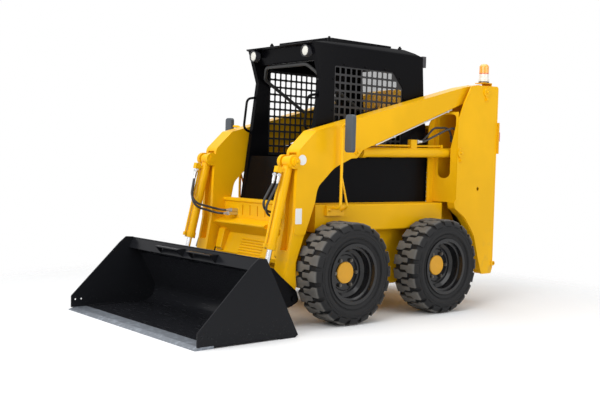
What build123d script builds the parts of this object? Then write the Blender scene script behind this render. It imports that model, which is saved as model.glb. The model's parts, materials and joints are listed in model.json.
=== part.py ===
"""Wheeled skid steer loader with a general purpose bucket, in millimetres.

X runs across the machine (+X is the operator's left), +Z is up, the machine faces -Y.
While it is drawn, Y = 0 is the front axle and Z = 0 is the ground. Each piece is moved
along Y as it is written, so that the origin is under the middle of the whole machine.
Outlines are rows of (y, z, corner radius) drawn in a plane across X.
"""

import os
from math import hypot, radians, sin, tan

from build123d import *

# General clearances
FIT = 0.3
PIN_FIT = 0.05

# Tyres, rims and hubs
TYRE_RADIUS = 386.5
TYRE_WIDTH = 264.0
TRACK_X = 689.0
WHEELBASE = 1018.0
BEAD_RADIUS = 210.0
RIM_FLANGE_RADIUS = 230.0
RIM_WALL = 9.0
DISC_THICKNESS = 12.0
DISC_INSET = 12.0
HUB_CAP_RADIUS = 82.0
HUB_CAP_REACH = 15.0
HUB_FLANGE_RADIUS = 128.0
HUB_FLANGE_THICKNESS = 16.0
NUT_CIRCLE_RADIUS = 106.0
NUT_COUNT = 6
NUT_RADIUS = 15.0
NUT_HEIGHT = 18.0
STUD_RADIUS = 9.0
AXLE_TUBE_RADIUS = 74.0
AXLE_SHAFT_RADIUS = 38.0
AXLE_SHAFT_LENGTH = 70.0

# Chassis
TUB_HALF_WIDTH = 440.0
TUB_WALL = 12.0
TUB_FRONT_Y = -250.0
TUB_REAR_Y = 1752.0
BELLY_Z = 225.0
DECK_Z = 895.0
SILL_BOTTOM_Z = 685.0
SILL_X = 548.0
SILL_FRONT_Y = -185.0
SILL_REAR_Y = 1231.0
ENGINE_WIDTH = 560.0
ENGINE_LENGTH = 470.0
ENGINE_HEIGHT = 560.0
ENGINE_FRONT_Y = 1235.0

# Rear towers that carry the arms
TOWER_OUTER_X = 660.0
TOWER_INNER_X = 440.0
TOWER_PLATE = 10.0
TOWER_FRONT_Y = 1281.0
TOWER_REAR_Y = 1800.0
TOWER_TOP_FRONT_Y = 1435.0
TOWER_TOP_FRONT_Z = 1897.0
TOWER_TOP_REAR_Z = 1932.0
TOWER_FOOT_Z = 268.0
TOWER_FLANGE = 118.0

SLOT_LOW_Z = 1110.0
SLOT_HIGH_Z = 1500.0
SLOT_WIDTH = 112.0

# Beacon and its shelf
BEACON_X = 530.0
BEACON_Y = 1750.0
BEACON_BASE_RADIUS = 48.0
BEACON_BASE_HEIGHT = 34.0
BEACON_DOME_RADIUS = 43.0
BEACON_DOME_HEIGHT = 134.0
SHELF_Z = 1956.0
SHELF_THICKNESS = 8.0

# Lift arms and their pivots (y, z)
ARM_PIVOT = (1638.0, 1860.0)
LIFT_BASE_PIN = (1318.0, 1324.0)
LIFT_EYE_PIN = (165.0, 1300.0)
TILT_BASE_PIN = (-445.0, 1212.0)
BUCKET_PIN = (-440.0, 215.0)
TILT_EYE_PIN = (-645.0, 370.0)
ARM_INNER_X = 466.0
ARM_OUTER_X = 614.0
PIN_RADIUS = 25.0
ARM_BOSS_RADIUS = 62.0
LIFT_EYE_ROOM = 114.0

# Cross member between the arms
CROSS_TOP_Z = 905.0
CROSS_FRONT_Y = -312.0
CROSS_DEPTH = 62.0
CROSS_SHELF_Z = 745.0
CROSS_SHELF_REACH = 100.0
CROSS_PLATE = 12.0
CROSS_FOOT_Z = 440.0

# Cylinders
CYLINDER_X = 540.0
LIFT_BARREL_RADIUS = 40.0
LIFT_ROD_RADIUS = 22.0
TILT_BARREL_RADIUS = 37.0
TILT_ROD_RADIUS = 20.0
EYE_RADIUS = 42.0
EYE_WIDTH = 62.0
GLAND_LENGTH = 46.0
LIFT_ROD_SHOWING = 60.0
TILT_ROD_SHOWING = 165.0
LIFT_ROD_START = 80.0
TILT_ROD_START = 175.0
BORE_START = 72.0

# Bucket and coupler
BUCKET_HALF_WIDTH = 915.0
BUCKET_LIP_Y = -1457.0
EDGE_DEPTH = 144.0
EDGE_THICKNESS = 20.0
SHELL = 8.0
SIDE_PLATE = 10.0
FLOOR_Z = 12.0
HEEL_Y = -623.0
BUCKET_TOP_Y = -906.0
BUCKET_TOP_Z = 557.0
HEEL_RADIUS = 110.0
LIP_BOX_DROP = 86.0
LIP_BOX_REACH = 40.0
SIDE_HOLES_Y = (-1405.0, -1356.0)
SIDE_HOLES_Z = 80.0
SIDE_HOLE_RADIUS = 7.0
COUPLER_PLATE = 14.0
COUPLER_LOW_Z = 95.0
COUPLER_HIGH_Z = 500.0
COUPLER_EAR = 16.0
EAR_GAP = 10.0

# Cab
CAB_X = 423.5
CAB_POST = 42.0
CAB_SKIN = 5.0
CAB_REAR_Y = 1156.0
ROOF_Z = 2150.0
ROOF_THICKNESS = 38.0
CAB_FLOOR_Z = 560.0
FRONT_PANEL_TOP_Z = 1250.0
MESH_THICKNESS = 4.0
LAMP_RADIUS = 46.0
POST_FOOT_Y = -185.0
POST_KNEE_Y = -57.0
POST_KNEE_Z = 1860.0
HANDLE_RADIUS = 10.0

# Rear door and engine hood
DOOR_Z_LOW = 440.0
DOOR_Z_HIGH = 1330.0
DOOR_THICKNESS = 40.0
HOOD_FRONT_Y = 1175.0
HOOD_FRONT_Z = 1560.0
HOOD_THICKNESS = 30.0
HOOD_PIN = (1235.0, 1524.0)
HOOD_PIN_RADIUS = 9.0
DOOR_HINGE_X = -452.0
DOOR_HINGE_Y = 1815.0
DOOR_PIN_RADIUS = 7.0
DOOR_KNUCKLE_RADIUS = 11.0
DOOR_HINGE_HEIGHTS = (620.0, 1150.0)
DOOR_HINGE_LENGTH = 70.0
DOOR_LUG = 16.0

# The other axle and the shift that centres the machine along Y
REAR_AXLE_Y = WHEELBASE
DOOR_REAR_Y = TOWER_REAR_Y + 26.0
CENTRE_Y = (DOOR_REAR_Y + BUCKET_LIP_Y) / 2

SIDES = (("left", 1), ("right", -1))
AXLES = (("front", 0.0), ("rear", REAR_AXLE_Y))


def corner_arc(before, at, after, radius):
    """Start, middle and end of the arc that rounds a corner, as large as its runs allow."""
    back, ahead = (before - at), (after - at)
    room = 0.48 * min(back.length, ahead.length)
    back, ahead = back.normalized(), ahead.normalized()
    half_angle = radians(back.get_angle(ahead)) / 2
    reach = min(radius / tan(half_angle), room)
    radius = reach * tan(half_angle)
    inward = (back + ahead).normalized()
    middle = at + inward * (radius / sin(half_angle) - radius)
    return at + back * reach, middle, at + ahead * reach


def outline(rows):
    """Closed face from rows of (y, z, corner radius)."""
    points = [Vector(row[0], row[1]) for row in rows]
    stops = []
    for index, row in enumerate(rows):
        at = points[index]
        before = points[index - 1]
        after = points[(index + 1) % len(points)]
        stops.append(corner_arc(before, at, after, row[2]) if row[2] > 0 else (at,))
    edges = []
    for index, stop in enumerate(stops):
        if len(stop) == 3:
            edges.append(ThreePointArc(*stop))
        edges.append(Line(stop[-1], stops[(index + 1) % len(stops)][0]))
    return make_face(edges)


def slab(rows, x_low, x_high):
    """Solid between two planes across X, with an outline given as rows."""
    return extrude(Plane.YZ.offset(x_low) * outline(rows), x_high - x_low)


def block(x, y, z):
    """Box from three (low, high) pairs."""
    low = Vector(x[0], y[0], z[0])
    return Pos(low) * Box(x[1] - x[0], y[1] - y[0], z[1] - z[0], align=(Align.MIN,) * 3)


def bar_x(place, radius, x_low, x_high):
    """Round bar along X about a place (y, z)."""
    bar = Cylinder(radius, x_high - x_low, align=(Align.CENTER, Align.CENTER, Align.MIN))
    return Pos(x_low, place[0], place[1]) * Rot(0, 90, 0) * bar


def post_z(place, radius, z_low, z_high):
    """Round bar along Z about a place (x, y)."""
    bar = Cylinder(radius, z_high - z_low, align=(Align.CENTER, Align.CENTER, Align.MIN))
    return Pos(place[0], place[1], z_low) * bar


def bar(start, end, radius):
    """Round bar between two points."""
    line = Vector(*end) - Vector(*start)
    return Part() + Solid.make_cylinder(radius, line.length, Plane(origin=start, z_dir=line))


def tube(points, bend, radius):
    """Round tube along straight runs joined by arcs."""
    path = FilletPolyline(*points, radius=bend)
    section = Plane(origin=path @ 0, z_dir=path % 0) * Circle(radius)
    return sweep(section, path=path)


def on_side(solid, side):
    """A solid drawn on the left, or its mirror image on the right."""
    return solid if side > 0 else mirror(solid, about=Plane.YZ)


def line_between(start, end):
    """Length and unit direction between two places (y, z)."""
    length = hypot(end[0] - start[0], end[1] - start[1])
    return length, ((end[0] - start[0]) / length, (end[1] - start[1]) / length)


def along(start, direction, distance, offset=0.0):
    """Place at a distance along a direction, and offset to its left."""
    y = start[0] + direction[0] * distance - direction[1] * offset
    z = start[1] + direction[1] * distance + direction[0] * offset
    return (y, z)


# Wheels

def tyre(x, y):
    """Tyre as a solid of revolution out to its tread."""
    half = TYRE_WIDTH / 2
    rows = (
        (-half + 22, BEAD_RADIUS + FIT, 0),
        (-half + 22, RIM_FLANGE_RADIUS + 2, 0),
        (-half, RIM_FLANGE_RADIUS + 50, 60),
        (-half + 2, TYRE_RADIUS - 50, 40),
        (-half + 34, TYRE_RADIUS, 30),
        (half - 34, TYRE_RADIUS, 30),
        (half - 2, TYRE_RADIUS - 50, 40),
        (half, RIM_FLANGE_RADIUS + 50, 60),
        (half - 22, RIM_FLANGE_RADIUS + 2, 0),
        (half - 22, BEAD_RADIUS + FIT, 0),
    )
    face = outline(rows)
    return Pos(x, y, TYRE_RADIUS) * revolve(face, Axis.X)


def rim(x, y):
    """Deep dish rim: rolled flanges, stepped barrel and a disc with a hole for the cap."""
    half = TYRE_WIDTH / 2
    flange_x = half - 12
    well = BEAD_RADIUS - RIM_WALL
    disc_x = HUB_CAP_REACH - DISC_INSET
    back_x = disc_x - DISC_THICKNESS
    hole = HUB_CAP_RADIUS + FIT
    rows = (
        (-flange_x, RIM_FLANGE_RADIUS),
        (-flange_x + 8, RIM_FLANGE_RADIUS),
        (-flange_x + 8, BEAD_RADIUS),
        (flange_x - 8, BEAD_RADIUS),
        (flange_x - 8, RIM_FLANGE_RADIUS),
        (flange_x, RIM_FLANGE_RADIUS),
        (flange_x, well + 4),
        (flange_x - 34, well),
        (flange_x - 38, well - 14),
        (disc_x + 22, well - 18),
        (disc_x + 6, well - 44),
        (disc_x + 6, well - 62),
        (disc_x, well - 70),
        (disc_x, hole),
        (back_x, hole),
        (back_x, well - 20),
        (back_x - 20, well),
        (-flange_x, well),
    )
    face = make_face(Polyline(*rows, close=True))
    dish = revolve(face, Axis.X)
    drill = Rot(0, 90, 0) * Cylinder(STUD_RADIUS + FIT, TYRE_WIDTH)
    for index in range(NUT_COUNT):
        angle = 360 * index / NUT_COUNT + 30
        dish -= Rot(angle, 0, 0) * Pos(0, 0, NUT_CIRCLE_RADIUS) * drill
    return Pos(x, y, TYRE_RADIUS) * dish


def hub(x, y):
    """Hub flange with studs and nuts, its cap, and the shaft that turns in the axle tube."""
    disc_x = HUB_CAP_REACH - DISC_INSET
    face_x = disc_x - DISC_THICKNESS - FIT
    back_x = face_x - HUB_FLANGE_THICKNESS
    shaft_x = back_x - AXLE_SHAFT_LENGTH
    whole = bar_x((0, 0), HUB_FLANGE_RADIUS, back_x, face_x)
    cap = bar_x((0, 0), HUB_CAP_RADIUS, face_x, HUB_CAP_REACH)
    cap = chamfer(cap.edges().sort_by(Axis.X)[-1], 4)
    whole += cap
    whole += bar_x((0, 0), AXLE_SHAFT_RADIUS, shaft_x, back_x)
    nut = RegularPolygon(NUT_RADIUS, 6)
    nut = extrude(Plane.YZ.offset(disc_x + FIT) * nut, NUT_HEIGHT)
    nut += bar_x((0, 0), STUD_RADIUS, face_x, disc_x + NUT_HEIGHT + 6)
    for index in range(NUT_COUNT):
        angle = 360 * index / NUT_COUNT + 30
        whole += Rot(angle, 0, 0) * Pos(0, 0, NUT_CIRCLE_RADIUS) * nut
    return Pos(x, y, TYRE_RADIUS) * whole


def hub_back_x():
    """Inner face of the hub flange, measured from the machine's middle."""
    flange = DISC_THICKNESS + FIT + HUB_FLANGE_THICKNESS
    return TRACK_X + HUB_CAP_REACH - DISC_INSET - flange


def axle_housings():
    """Axle tubes on the tub's sides, bored for the hub shafts."""
    end_x = hub_back_x() - 2
    whole = Part()
    for _, y in AXLES:
        place = (y, TYRE_RADIUS)
        one = bar_x(place, AXLE_TUBE_RADIUS, TUB_HALF_WIDTH, end_x)
        one += bar_x(place, AXLE_TUBE_RADIUS + 46, TUB_HALF_WIDTH, TUB_HALF_WIDTH + 22)
        one -= bar_x(place, AXLE_SHAFT_RADIUS + PIN_FIT, hub_back_x() - AXLE_SHAFT_LENGTH - 4, end_x)
        for _, side in SIDES:
            whole += on_side(one, side)
    return whole


# Chassis

def chassis_frame():
    """Welded tub with side plates, belly, sloped nose and the deck sills over the wheels."""
    side_rows = (
        (TUB_FRONT_Y, DECK_Z - 30, 0),
        (TUB_FRONT_Y, BELLY_Z + 150, 0),
        (TUB_FRONT_Y + 130, BELLY_Z, 30),
        (TUB_REAR_Y, BELLY_Z, 20),
        (TUB_REAR_Y, 430, 0),
        (TUB_REAR_Y - 30, 460, 0),
        (TUB_REAR_Y - 30, SILL_BOTTOM_Z, 0),
        (CAB_REAR_Y + 90, DECK_Z, 0),
        (TUB_FRONT_Y + 30, DECK_Z, 0),
    )
    whole = slab(side_rows, -TUB_HALF_WIDTH, TUB_HALF_WIDTH)
    inner_rows = (
        (TUB_FRONT_Y + TUB_WALL, DECK_Z + 10, 0),
        (TUB_FRONT_Y + TUB_WALL, BELLY_Z + 158, 0),
        (TUB_FRONT_Y + 138, BELLY_Z + TUB_WALL, 30),
        (TUB_REAR_Y - 30 - TUB_WALL, BELLY_Z + TUB_WALL, 0),
        (TUB_REAR_Y - 30 - TUB_WALL, DECK_Z + 10, 0),
    )
    whole -= slab(inner_rows, -TUB_HALF_WIDTH + TUB_WALL, TUB_HALF_WIDTH - TUB_WALL)
    sill = block((TUB_HALF_WIDTH - 1, SILL_X), (SILL_FRONT_Y, SILL_REAR_Y), (SILL_BOTTOM_Z, DECK_Z))
    sill = fillet(sill.edges().filter_by(Axis.Y).group_by(Axis.X)[-1], 12)
    hollow = block(
        (TUB_HALF_WIDTH + 8, SILL_X - 8),
        (SILL_FRONT_Y + 8, SILL_REAR_Y - 8),
        (SILL_BOTTOM_Z - 10, DECK_Z - 8),
    )
    sill -= hollow
    for _, side in SIDES:
        whole += on_side(sill, side)
    return whole


def engine_block():
    """Engine and pumps as one plain mass between the towers."""
    low_z = BELLY_Z + TUB_WALL
    half = ENGINE_WIDTH / 2
    return block(
        (-half, half),
        (ENGINE_FRONT_Y, ENGINE_FRONT_Y + ENGINE_LENGTH),
        (low_z, low_z + ENGINE_HEIGHT),
    )


def tower(side):
    """Outer and inner plates, front flange with its slot, top and foot of one tower."""
    arch_y = TOWER_FRONT_Y - 20
    outer_rows = (
        (TOWER_TOP_FRONT_Y, TOWER_TOP_FRONT_Z, 25),
        (1345, 1745, 200),
        (TOWER_FRONT_Y, 1600, 60),
        (TOWER_FRONT_Y, 930, 20),
        (arch_y, 900, 10),
        (arch_y + 10, 850, 20),
        (1400, 775, 160),
        (1530, 620, 200),
        (1590, 430, 120),
        (1650, TOWER_FOOT_Z, 12),
        (1780, TOWER_FOOT_Z, 12),
        (TOWER_REAR_Y, TOWER_FOOT_Z + 50, 12),
        (TOWER_REAR_Y, TOWER_TOP_REAR_Z - 10, 25),
        (TOWER_TOP_FRONT_Y + 90, TOWER_TOP_FRONT_Z + 16, 60),
    )
    inner_rows = (
        (1330, 1700, 80),
        (1175, 1560, 90),
        (1185, DECK_Z + FIT, 0),
        (SILL_REAR_Y + FIT, DECK_Z + FIT, 0),
        (SILL_REAR_Y + 90, SILL_BOTTOM_Z, 0),
        (TUB_REAR_Y - 40, SILL_BOTTOM_Z, 0),
        (TOWER_REAR_Y - 12, SILL_BOTTOM_Z + 40, 0),
        (TOWER_REAR_Y - 12, 1900, 40),
        (1640, 1935, 60),
        (1520, 1900, 60),
    )
    outer_in = TOWER_OUTER_X - TOWER_PLATE
    whole = slab(outer_rows, outer_in, TOWER_OUTER_X)
    whole += slab(inner_rows, TOWER_INNER_X, TOWER_INNER_X + TOWER_PLATE)
    rear = block((TOWER_INNER_X, outer_in + 1), (TOWER_REAR_Y - 12, TOWER_REAR_Y), (460, 1905))
    rail = block((TUB_HALF_WIDTH, outer_in + 1), (1655, TOWER_REAR_Y - 11), (TOWER_FOOT_Z + 12, 472))
    front = block(
        (TOWER_OUTER_X - TOWER_FLANGE, outer_in + 1),
        (TOWER_FRONT_Y, TOWER_FRONT_Y + TOWER_PLATE),
        (930, 1598),
    )
    slot = Pos(CYLINDER_X + 20, TOWER_FRONT_Y, (SLOT_LOW_Z + SLOT_HIGH_Z) / 2) * Rot(90, 0, 0)
    reach = SLOT_HIGH_Z - SLOT_LOW_Z - SLOT_WIDTH
    slot = extrude(slot * SlotCenterToCenter(reach, SLOT_WIDTH, rotation=90), 40, both=True)
    whole += [rear, rail, front - slot]
    boss_radius = EYE_RADIUS - 8
    boss = bar_x(LIFT_BASE_PIN, boss_radius, TOWER_INNER_X, CYLINDER_X - EYE_WIDTH / 2 - FIT)
    boss += bar_x(LIFT_BASE_PIN, boss_radius, CYLINDER_X + EYE_WIDTH / 2 + FIT, TOWER_OUTER_X)
    whole += boss
    whole -= bar_x(HOOD_PIN, HOOD_PIN_RADIUS + PIN_FIT, TOWER_INNER_X - 1, TOWER_INNER_X + TOWER_PLATE + 1)
    pin = bar_x(LIFT_BASE_PIN, PIN_RADIUS, TOWER_INNER_X, TOWER_OUTER_X + 8)
    pivot = bar_x(ARM_PIVOT, PIN_RADIUS, TOWER_INNER_X, TOWER_OUTER_X + 8)
    pivot += bar_x(ARM_PIVOT, PIN_RADIUS + 18, TOWER_OUTER_X, TOWER_OUTER_X + 12)
    whole += [pin, pivot]
    whole = on_side(whole, side)
    return whole + (beacon_shelf() if side > 0 else door_hinge_lugs())


def beacon_shelf():
    """Bracket on the left tower's rear plate that carries the beacon."""
    reach = BEACON_BASE_RADIUS + 6
    x = (BEACON_X - reach, BEACON_X + reach)
    shelf = block(x, (BEACON_Y - reach, TOWER_REAR_Y), (SHELF_Z - SHELF_THICKNESS, SHELF_Z))
    return shelf + block(x, (TOWER_REAR_Y - SHELF_THICKNESS, TOWER_REAR_Y), (1880, SHELF_Z))


def rear_bumper():
    """Heavy cross bar between the towers under the rear door."""
    rows = (
        (TUB_REAR_Y + FIT, BELLY_Z + 30, 0),
        (TOWER_REAR_Y + 4, BELLY_Z + 60, 20),
        (TOWER_REAR_Y + 4, DOOR_Z_LOW - 12, 20),
        (TUB_REAR_Y + FIT, DOOR_Z_LOW - 12, 0),
    )
    return slab(rows, -TUB_HALF_WIDTH + FIT, TUB_HALF_WIDTH - FIT)


# Cab

def post_face_y(z):
    """Front face of the front posts at a height."""
    share = (z - DECK_Z) / (POST_KNEE_Z - DECK_Z)
    return POST_FOOT_Y + share * (POST_KNEE_Y - POST_FOOT_Y)


def cab_side(side):
    """Side panel with its window cut out, from sill to roof."""
    rows = (
        (POST_FOOT_Y, DECK_Z + FIT, 0),
        (CAB_REAR_Y, DECK_Z + FIT, 0),
        (CAB_REAR_Y + 3, 1271, 60),
        (1090, 1800, 60),
        (1062, ROOF_Z - ROOF_THICKNESS, 0),
        (-140, ROOF_Z - ROOF_THICKNESS, 0),
        (POST_KNEE_Y, POST_KNEE_Z, 30),
    )
    window = (
        (165, 1500, 30),
        (835, 1640, 30),
        (835, 1960, 40),
        (760, 2040, 40),
        (150, 2000, 30),
    )
    whole = slab(rows, CAB_X - CAB_POST, CAB_X)
    recess = (
        (60, DECK_Z + 60, 40),
        (1080, DECK_Z + 60, 40),
        (1085, 1271, 60),
        (1020, 1800, 60),
        (1000, ROOF_Z - ROOF_THICKNESS - 40, 40),
        (90, ROOF_Z - ROOF_THICKNESS - 60, 40),
    )
    whole -= slab(recess, CAB_X - CAB_POST - 1, CAB_X - CAB_SKIN)
    whole -= slab(window, CAB_X - CAB_POST - 1, CAB_X + 1)
    return on_side(whole, side)


def window_mesh(side):
    """Guard sheet behind the side window."""
    rows = (
        (130, 1460, 30),
        (870, 1610, 30),
        (870, 1980, 40),
        (790, 2045, 40),
        (120, 2030, 30),
    )
    high = CAB_X - CAB_SKIN - FIT
    return on_side(slab(rows, high - MESH_THICKNESS, high), side)


def cab_roof():
    """Roof with the visor that flares forward, and the raised hatch plate."""
    rows = (
        (-171, 2126, 10),
        (-32, 2147, 60),
        (873, 2173, 30),
        (985, 2150, 60),
        (1070, ROOF_Z - ROOF_THICKNESS + 4, 20),
        (1070, ROOF_Z - ROOF_THICKNESS + FIT, 0),
        (-150, ROOF_Z - ROOF_THICKNESS + FIT, 8),
    )
    whole = slab(rows, -CAB_X, CAB_X)
    hatch = block((-330, 330), (90, 800), (2140, 2196))
    hatch = fillet(hatch.edges().filter_by(Axis.Z), 40)
    return whole + hatch


def cab_rear():
    """Rear wall of the cab with its window opening."""
    half = CAB_X - CAB_POST - FIT
    rows = (
        (CAB_REAR_Y - 30, DECK_Z + FIT, 0),
        (CAB_REAR_Y, DECK_Z + FIT, 0),
        (CAB_REAR_Y + 3, 1271, 60),
        (1090, 1800, 60),
        (1062, ROOF_Z - ROOF_THICKNESS, 0),
        (1032, ROOF_Z - ROOF_THICKNESS, 0),
        (1060, 1800, 60),
        (CAB_REAR_Y - 27, 1271, 60),
    )
    whole = slab(rows, -half, half)
    window = block((-half + 50, half - 50), (900, 1300), (1640, 2040))
    return whole - window


def cab_front():
    """Lower front panel with the cross bar at its top."""
    half = CAB_X - CAB_POST - FIT
    rows = (
        (-185, DECK_Z + FIT, 0),
        (-125, FRONT_PANEL_TOP_Z, 0),
        (-95, FRONT_PANEL_TOP_Z, 0),
        (-155, DECK_Z + FIT, 0),
    )
    return slab(rows, -half, half)


def cab_floor():
    """Footwell floor, seat pan and its riser."""
    half = TUB_HALF_WIDTH - TUB_WALL - FIT
    front = TUB_FRONT_Y + TUB_WALL + FIT
    rows = (
        (front, CAB_FLOOR_Z, 0),
        (480, CAB_FLOOR_Z, 0),
        (480, 935, 0),
        (1080, 935, 0),
        (1080, 965, 0),
        (450, 965, 0),
        (450, CAB_FLOOR_Z + 30, 0),
        (front, CAB_FLOOR_Z + 30, 0),
    )
    narrow = CAB_X - CAB_POST - FIT
    whole = slab(rows, -narrow, narrow)
    low = block((-half, half), (front, 480), (CAB_FLOOR_Z, CAB_FLOOR_Z + 30))
    return whole + low


def seat():
    """Seat cushion and back as one plain upholstered solid."""
    rows = (
        (430, 965 + FIT, 20),
        (910, 965 + FIT, 20),
        (1010, 1560, 40),
        (930, 1590, 40),
        (850, 1150, 60),
        (440, 1120, 50),
    )
    return slab(rows, -230, 230)


def control_levers():
    """Two levers that rise beside the operator's knees."""
    whole = Part()
    for _, side in SIDES:
        base = (side * 250, 330, CAB_FLOOR_Z + 32)
        knee = (side * 270, 250, 1120)
        top = (side * 255, 200, 1260)
        whole += bar(base, knee, 13)
        whole += bar(knee, top, 17)
    return whole


def grab_handles():
    """Bowed handrails on the front posts."""
    whole = Part()
    for _, side in SIDES:
        x = side * (CAB_X - 28)
        high = post_face_y(1730 - HANDLE_RADIUS) - FIT
        low = post_face_y(1440 - HANDLE_RADIUS) - FIT
        points = ((x, high, 1730), (x, high - 85, 1730), (x, low - 75, 1440), (x, low, 1440))
        whole += tube(points, 40, HANDLE_RADIUS)
    return whole


def mirror_assembly(side):
    """Mirror head on its bent stand."""
    head = Pos(782, -66, 1432) * Box(88, 34, 280)
    head = fillet(head.edges(), 14)
    stand_x = ARM_OUTER_X + 44
    points = ((SILL_X + 20, -30, DECK_Z - 40), (stand_x, -30, DECK_Z - 40), (stand_x, -30, 1500), (770, -60, 1500))
    rod = tube(points, 45, 11)
    bracket = block((SILL_X + FIT, SILL_X + 26), (-90, 10), (DECK_Z - 140, DECK_Z - 20))
    return on_side(head + rod + bracket, side)


def work_lamps():
    """Two front lamps under the visor and one at the rear of the roof."""
    whole = Part()
    for _, side in SIDES:
        x = CAB_X - CAB_POST - FIT - LAMP_RADIUS
        z = ROOF_Z - ROOF_THICKNESS - LAMP_RADIUS
        lamp = Pos(side * x, -112, z) * Rot(90, 0, 0) * Cylinder(LAMP_RADIUS, 60)
        whole += lamp
    rear = block((330, 420), (1070 + FIT, 1118), (2040, 2136))
    return whole + rear


def beacon():
    """Rotating beacon dome on its base at the top of the left tower."""
    base_z = SHELF_Z + FIT
    base = post_z((BEACON_X, BEACON_Y), BEACON_BASE_RADIUS, base_z, base_z + BEACON_BASE_HEIGHT)
    top = base_z + BEACON_BASE_HEIGHT + BEACON_DOME_HEIGHT
    dome = post_z((BEACON_X, BEACON_Y), BEACON_DOME_RADIUS, base_z, top)
    dome = fillet(dome.edges().sort_by(Axis.Z)[-1], 30)
    return base + dome


def tail_lamps():
    """Red lamps on brackets at the rear of the towers."""
    whole = Part()
    for _, side in SIDES:
        bracket = block((TOWER_OUTER_X - 70, TOWER_OUTER_X + 20), (TOWER_REAR_Y + FIT, TOWER_REAR_Y + 8), (1330, 1604))
        lamp = block((TOWER_OUTER_X - 60, TOWER_OUTER_X + 14), (TOWER_REAR_Y + 8, TOWER_REAR_Y + 24), (1440, 1520))
        whole += on_side(bracket + lamp, side)
    return whole


def rear_door():
    """Louvred engine door between the towers."""
    half = TOWER_INNER_X - 6
    front = DOOR_REAR_Y - DOOR_THICKNESS
    whole = block((-half, half), (front, DOOR_REAR_Y), (DOOR_Z_LOW, DOOR_Z_HIGH))
    whole = fillet(whole.edges().filter_by(Axis.X).group_by(Axis.Y)[-1], 12)
    hollow = block((-half + 20, half - 20), (front - 1, DOOR_REAR_Y - 6), (DOOR_Z_LOW + 20, DOOR_Z_HIGH - 20))
    whole -= hollow
    for height in DOOR_HINGE_HEIGHTS:
        high = height + DOOR_HINGE_LENGTH
        place = (DOOR_HINGE_X, DOOR_HINGE_Y)
        whole += post_z(place, DOOR_KNUCKLE_RADIUS, height, high)
        whole += block((DOOR_HINGE_X, -half + 6), (DOOR_HINGE_Y - 4, DOOR_HINGE_Y + 8), (height, high))
        whole -= post_z(place, DOOR_PIN_RADIUS + PIN_FIT, height - 1, high + 1)
    return whole


def door_hinge_lugs():
    """Pins on lugs at the right tower's rear face that carry the rear door."""
    whole = Part()
    for height in DOOR_HINGE_HEIGHTS:
        low = height - DOOR_LUG
        high = height + DOOR_HINGE_LENGTH + DOOR_LUG
        whole += post_z((DOOR_HINGE_X, DOOR_HINGE_Y), DOOR_PIN_RADIUS, low, high)
        reach = (DOOR_HINGE_X - 9, DOOR_HINGE_X + 9)
        depth = (TOWER_REAR_Y - 2, DOOR_HINGE_Y + 9)
        whole += block(reach, depth, (low, height - FIT))
        whole += block(reach, depth, (height + DOOR_HINGE_LENGTH + FIT, high))
    return whole


def engine_hood():
    """Sloped cover behind the cab, hinged at its front edge."""
    half = TOWER_INNER_X - 6
    rear = DOOR_REAR_Y - 60
    rows = (
        (HOOD_FRONT_Y, HOOD_FRONT_Z, 10),
        (rear - 40, DOOR_Z_HIGH + 36, 30),
        (rear, DOOR_Z_HIGH + 10, 0),
        (rear - 14, DOOR_Z_HIGH + 6, 0),
        (HOOD_FRONT_Y, HOOD_FRONT_Z - HOOD_THICKNESS, 0),
    )
    whole = slab(rows, -half, half)
    pin_end = TOWER_INNER_X + TOWER_PLATE - 2
    for _, side in SIDES:
        whole += on_side(bar_x(HOOD_PIN, HOOD_PIN_RADIUS, half - 20, pin_end), side)
    return whole


# Lift arms

def arm_rows():
    """Side outline of an arm, from the tower down to the bucket pin."""
    pivot_y, pivot_z = ARM_PIVOT
    foot_y, foot_z = BUCKET_PIN
    eye_y, eye_z = LIFT_EYE_PIN
    return (
        (-251, 1446, 20),
        (-407, 1299, 60),
        (-425, 1110, 0),
        (-436, 750, 200),
        (foot_y - 86, foot_z + 52, 30),
        (foot_y - 74, foot_z - 40, 40),
        (foot_y + 12, foot_z - 62, 40),
        (foot_y + 38, foot_z + 39, 10),
        (foot_y + 30, foot_z + 255, 80),
        (foot_y + 68, foot_z + 359, 80),
        (-246, 911, 0),
        (-222, 1030, 120),
        (-63, 1174, 200),
        (eye_y - 58, eye_z - 51, 40),
        (eye_y + 6, eye_z - 46, 30),
        (eye_y + 62, eye_z + 18, 20),
        (1375, 1745, 60),
        (pivot_y - 20, pivot_z - 62, 20),
        (pivot_y + 60, pivot_z - 40, 50),
        (pivot_y + 62, pivot_z + 55, 50),
        (pivot_y - 60, pivot_z + 64, 60),
        (1400, 1890, 60),
    )


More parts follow.
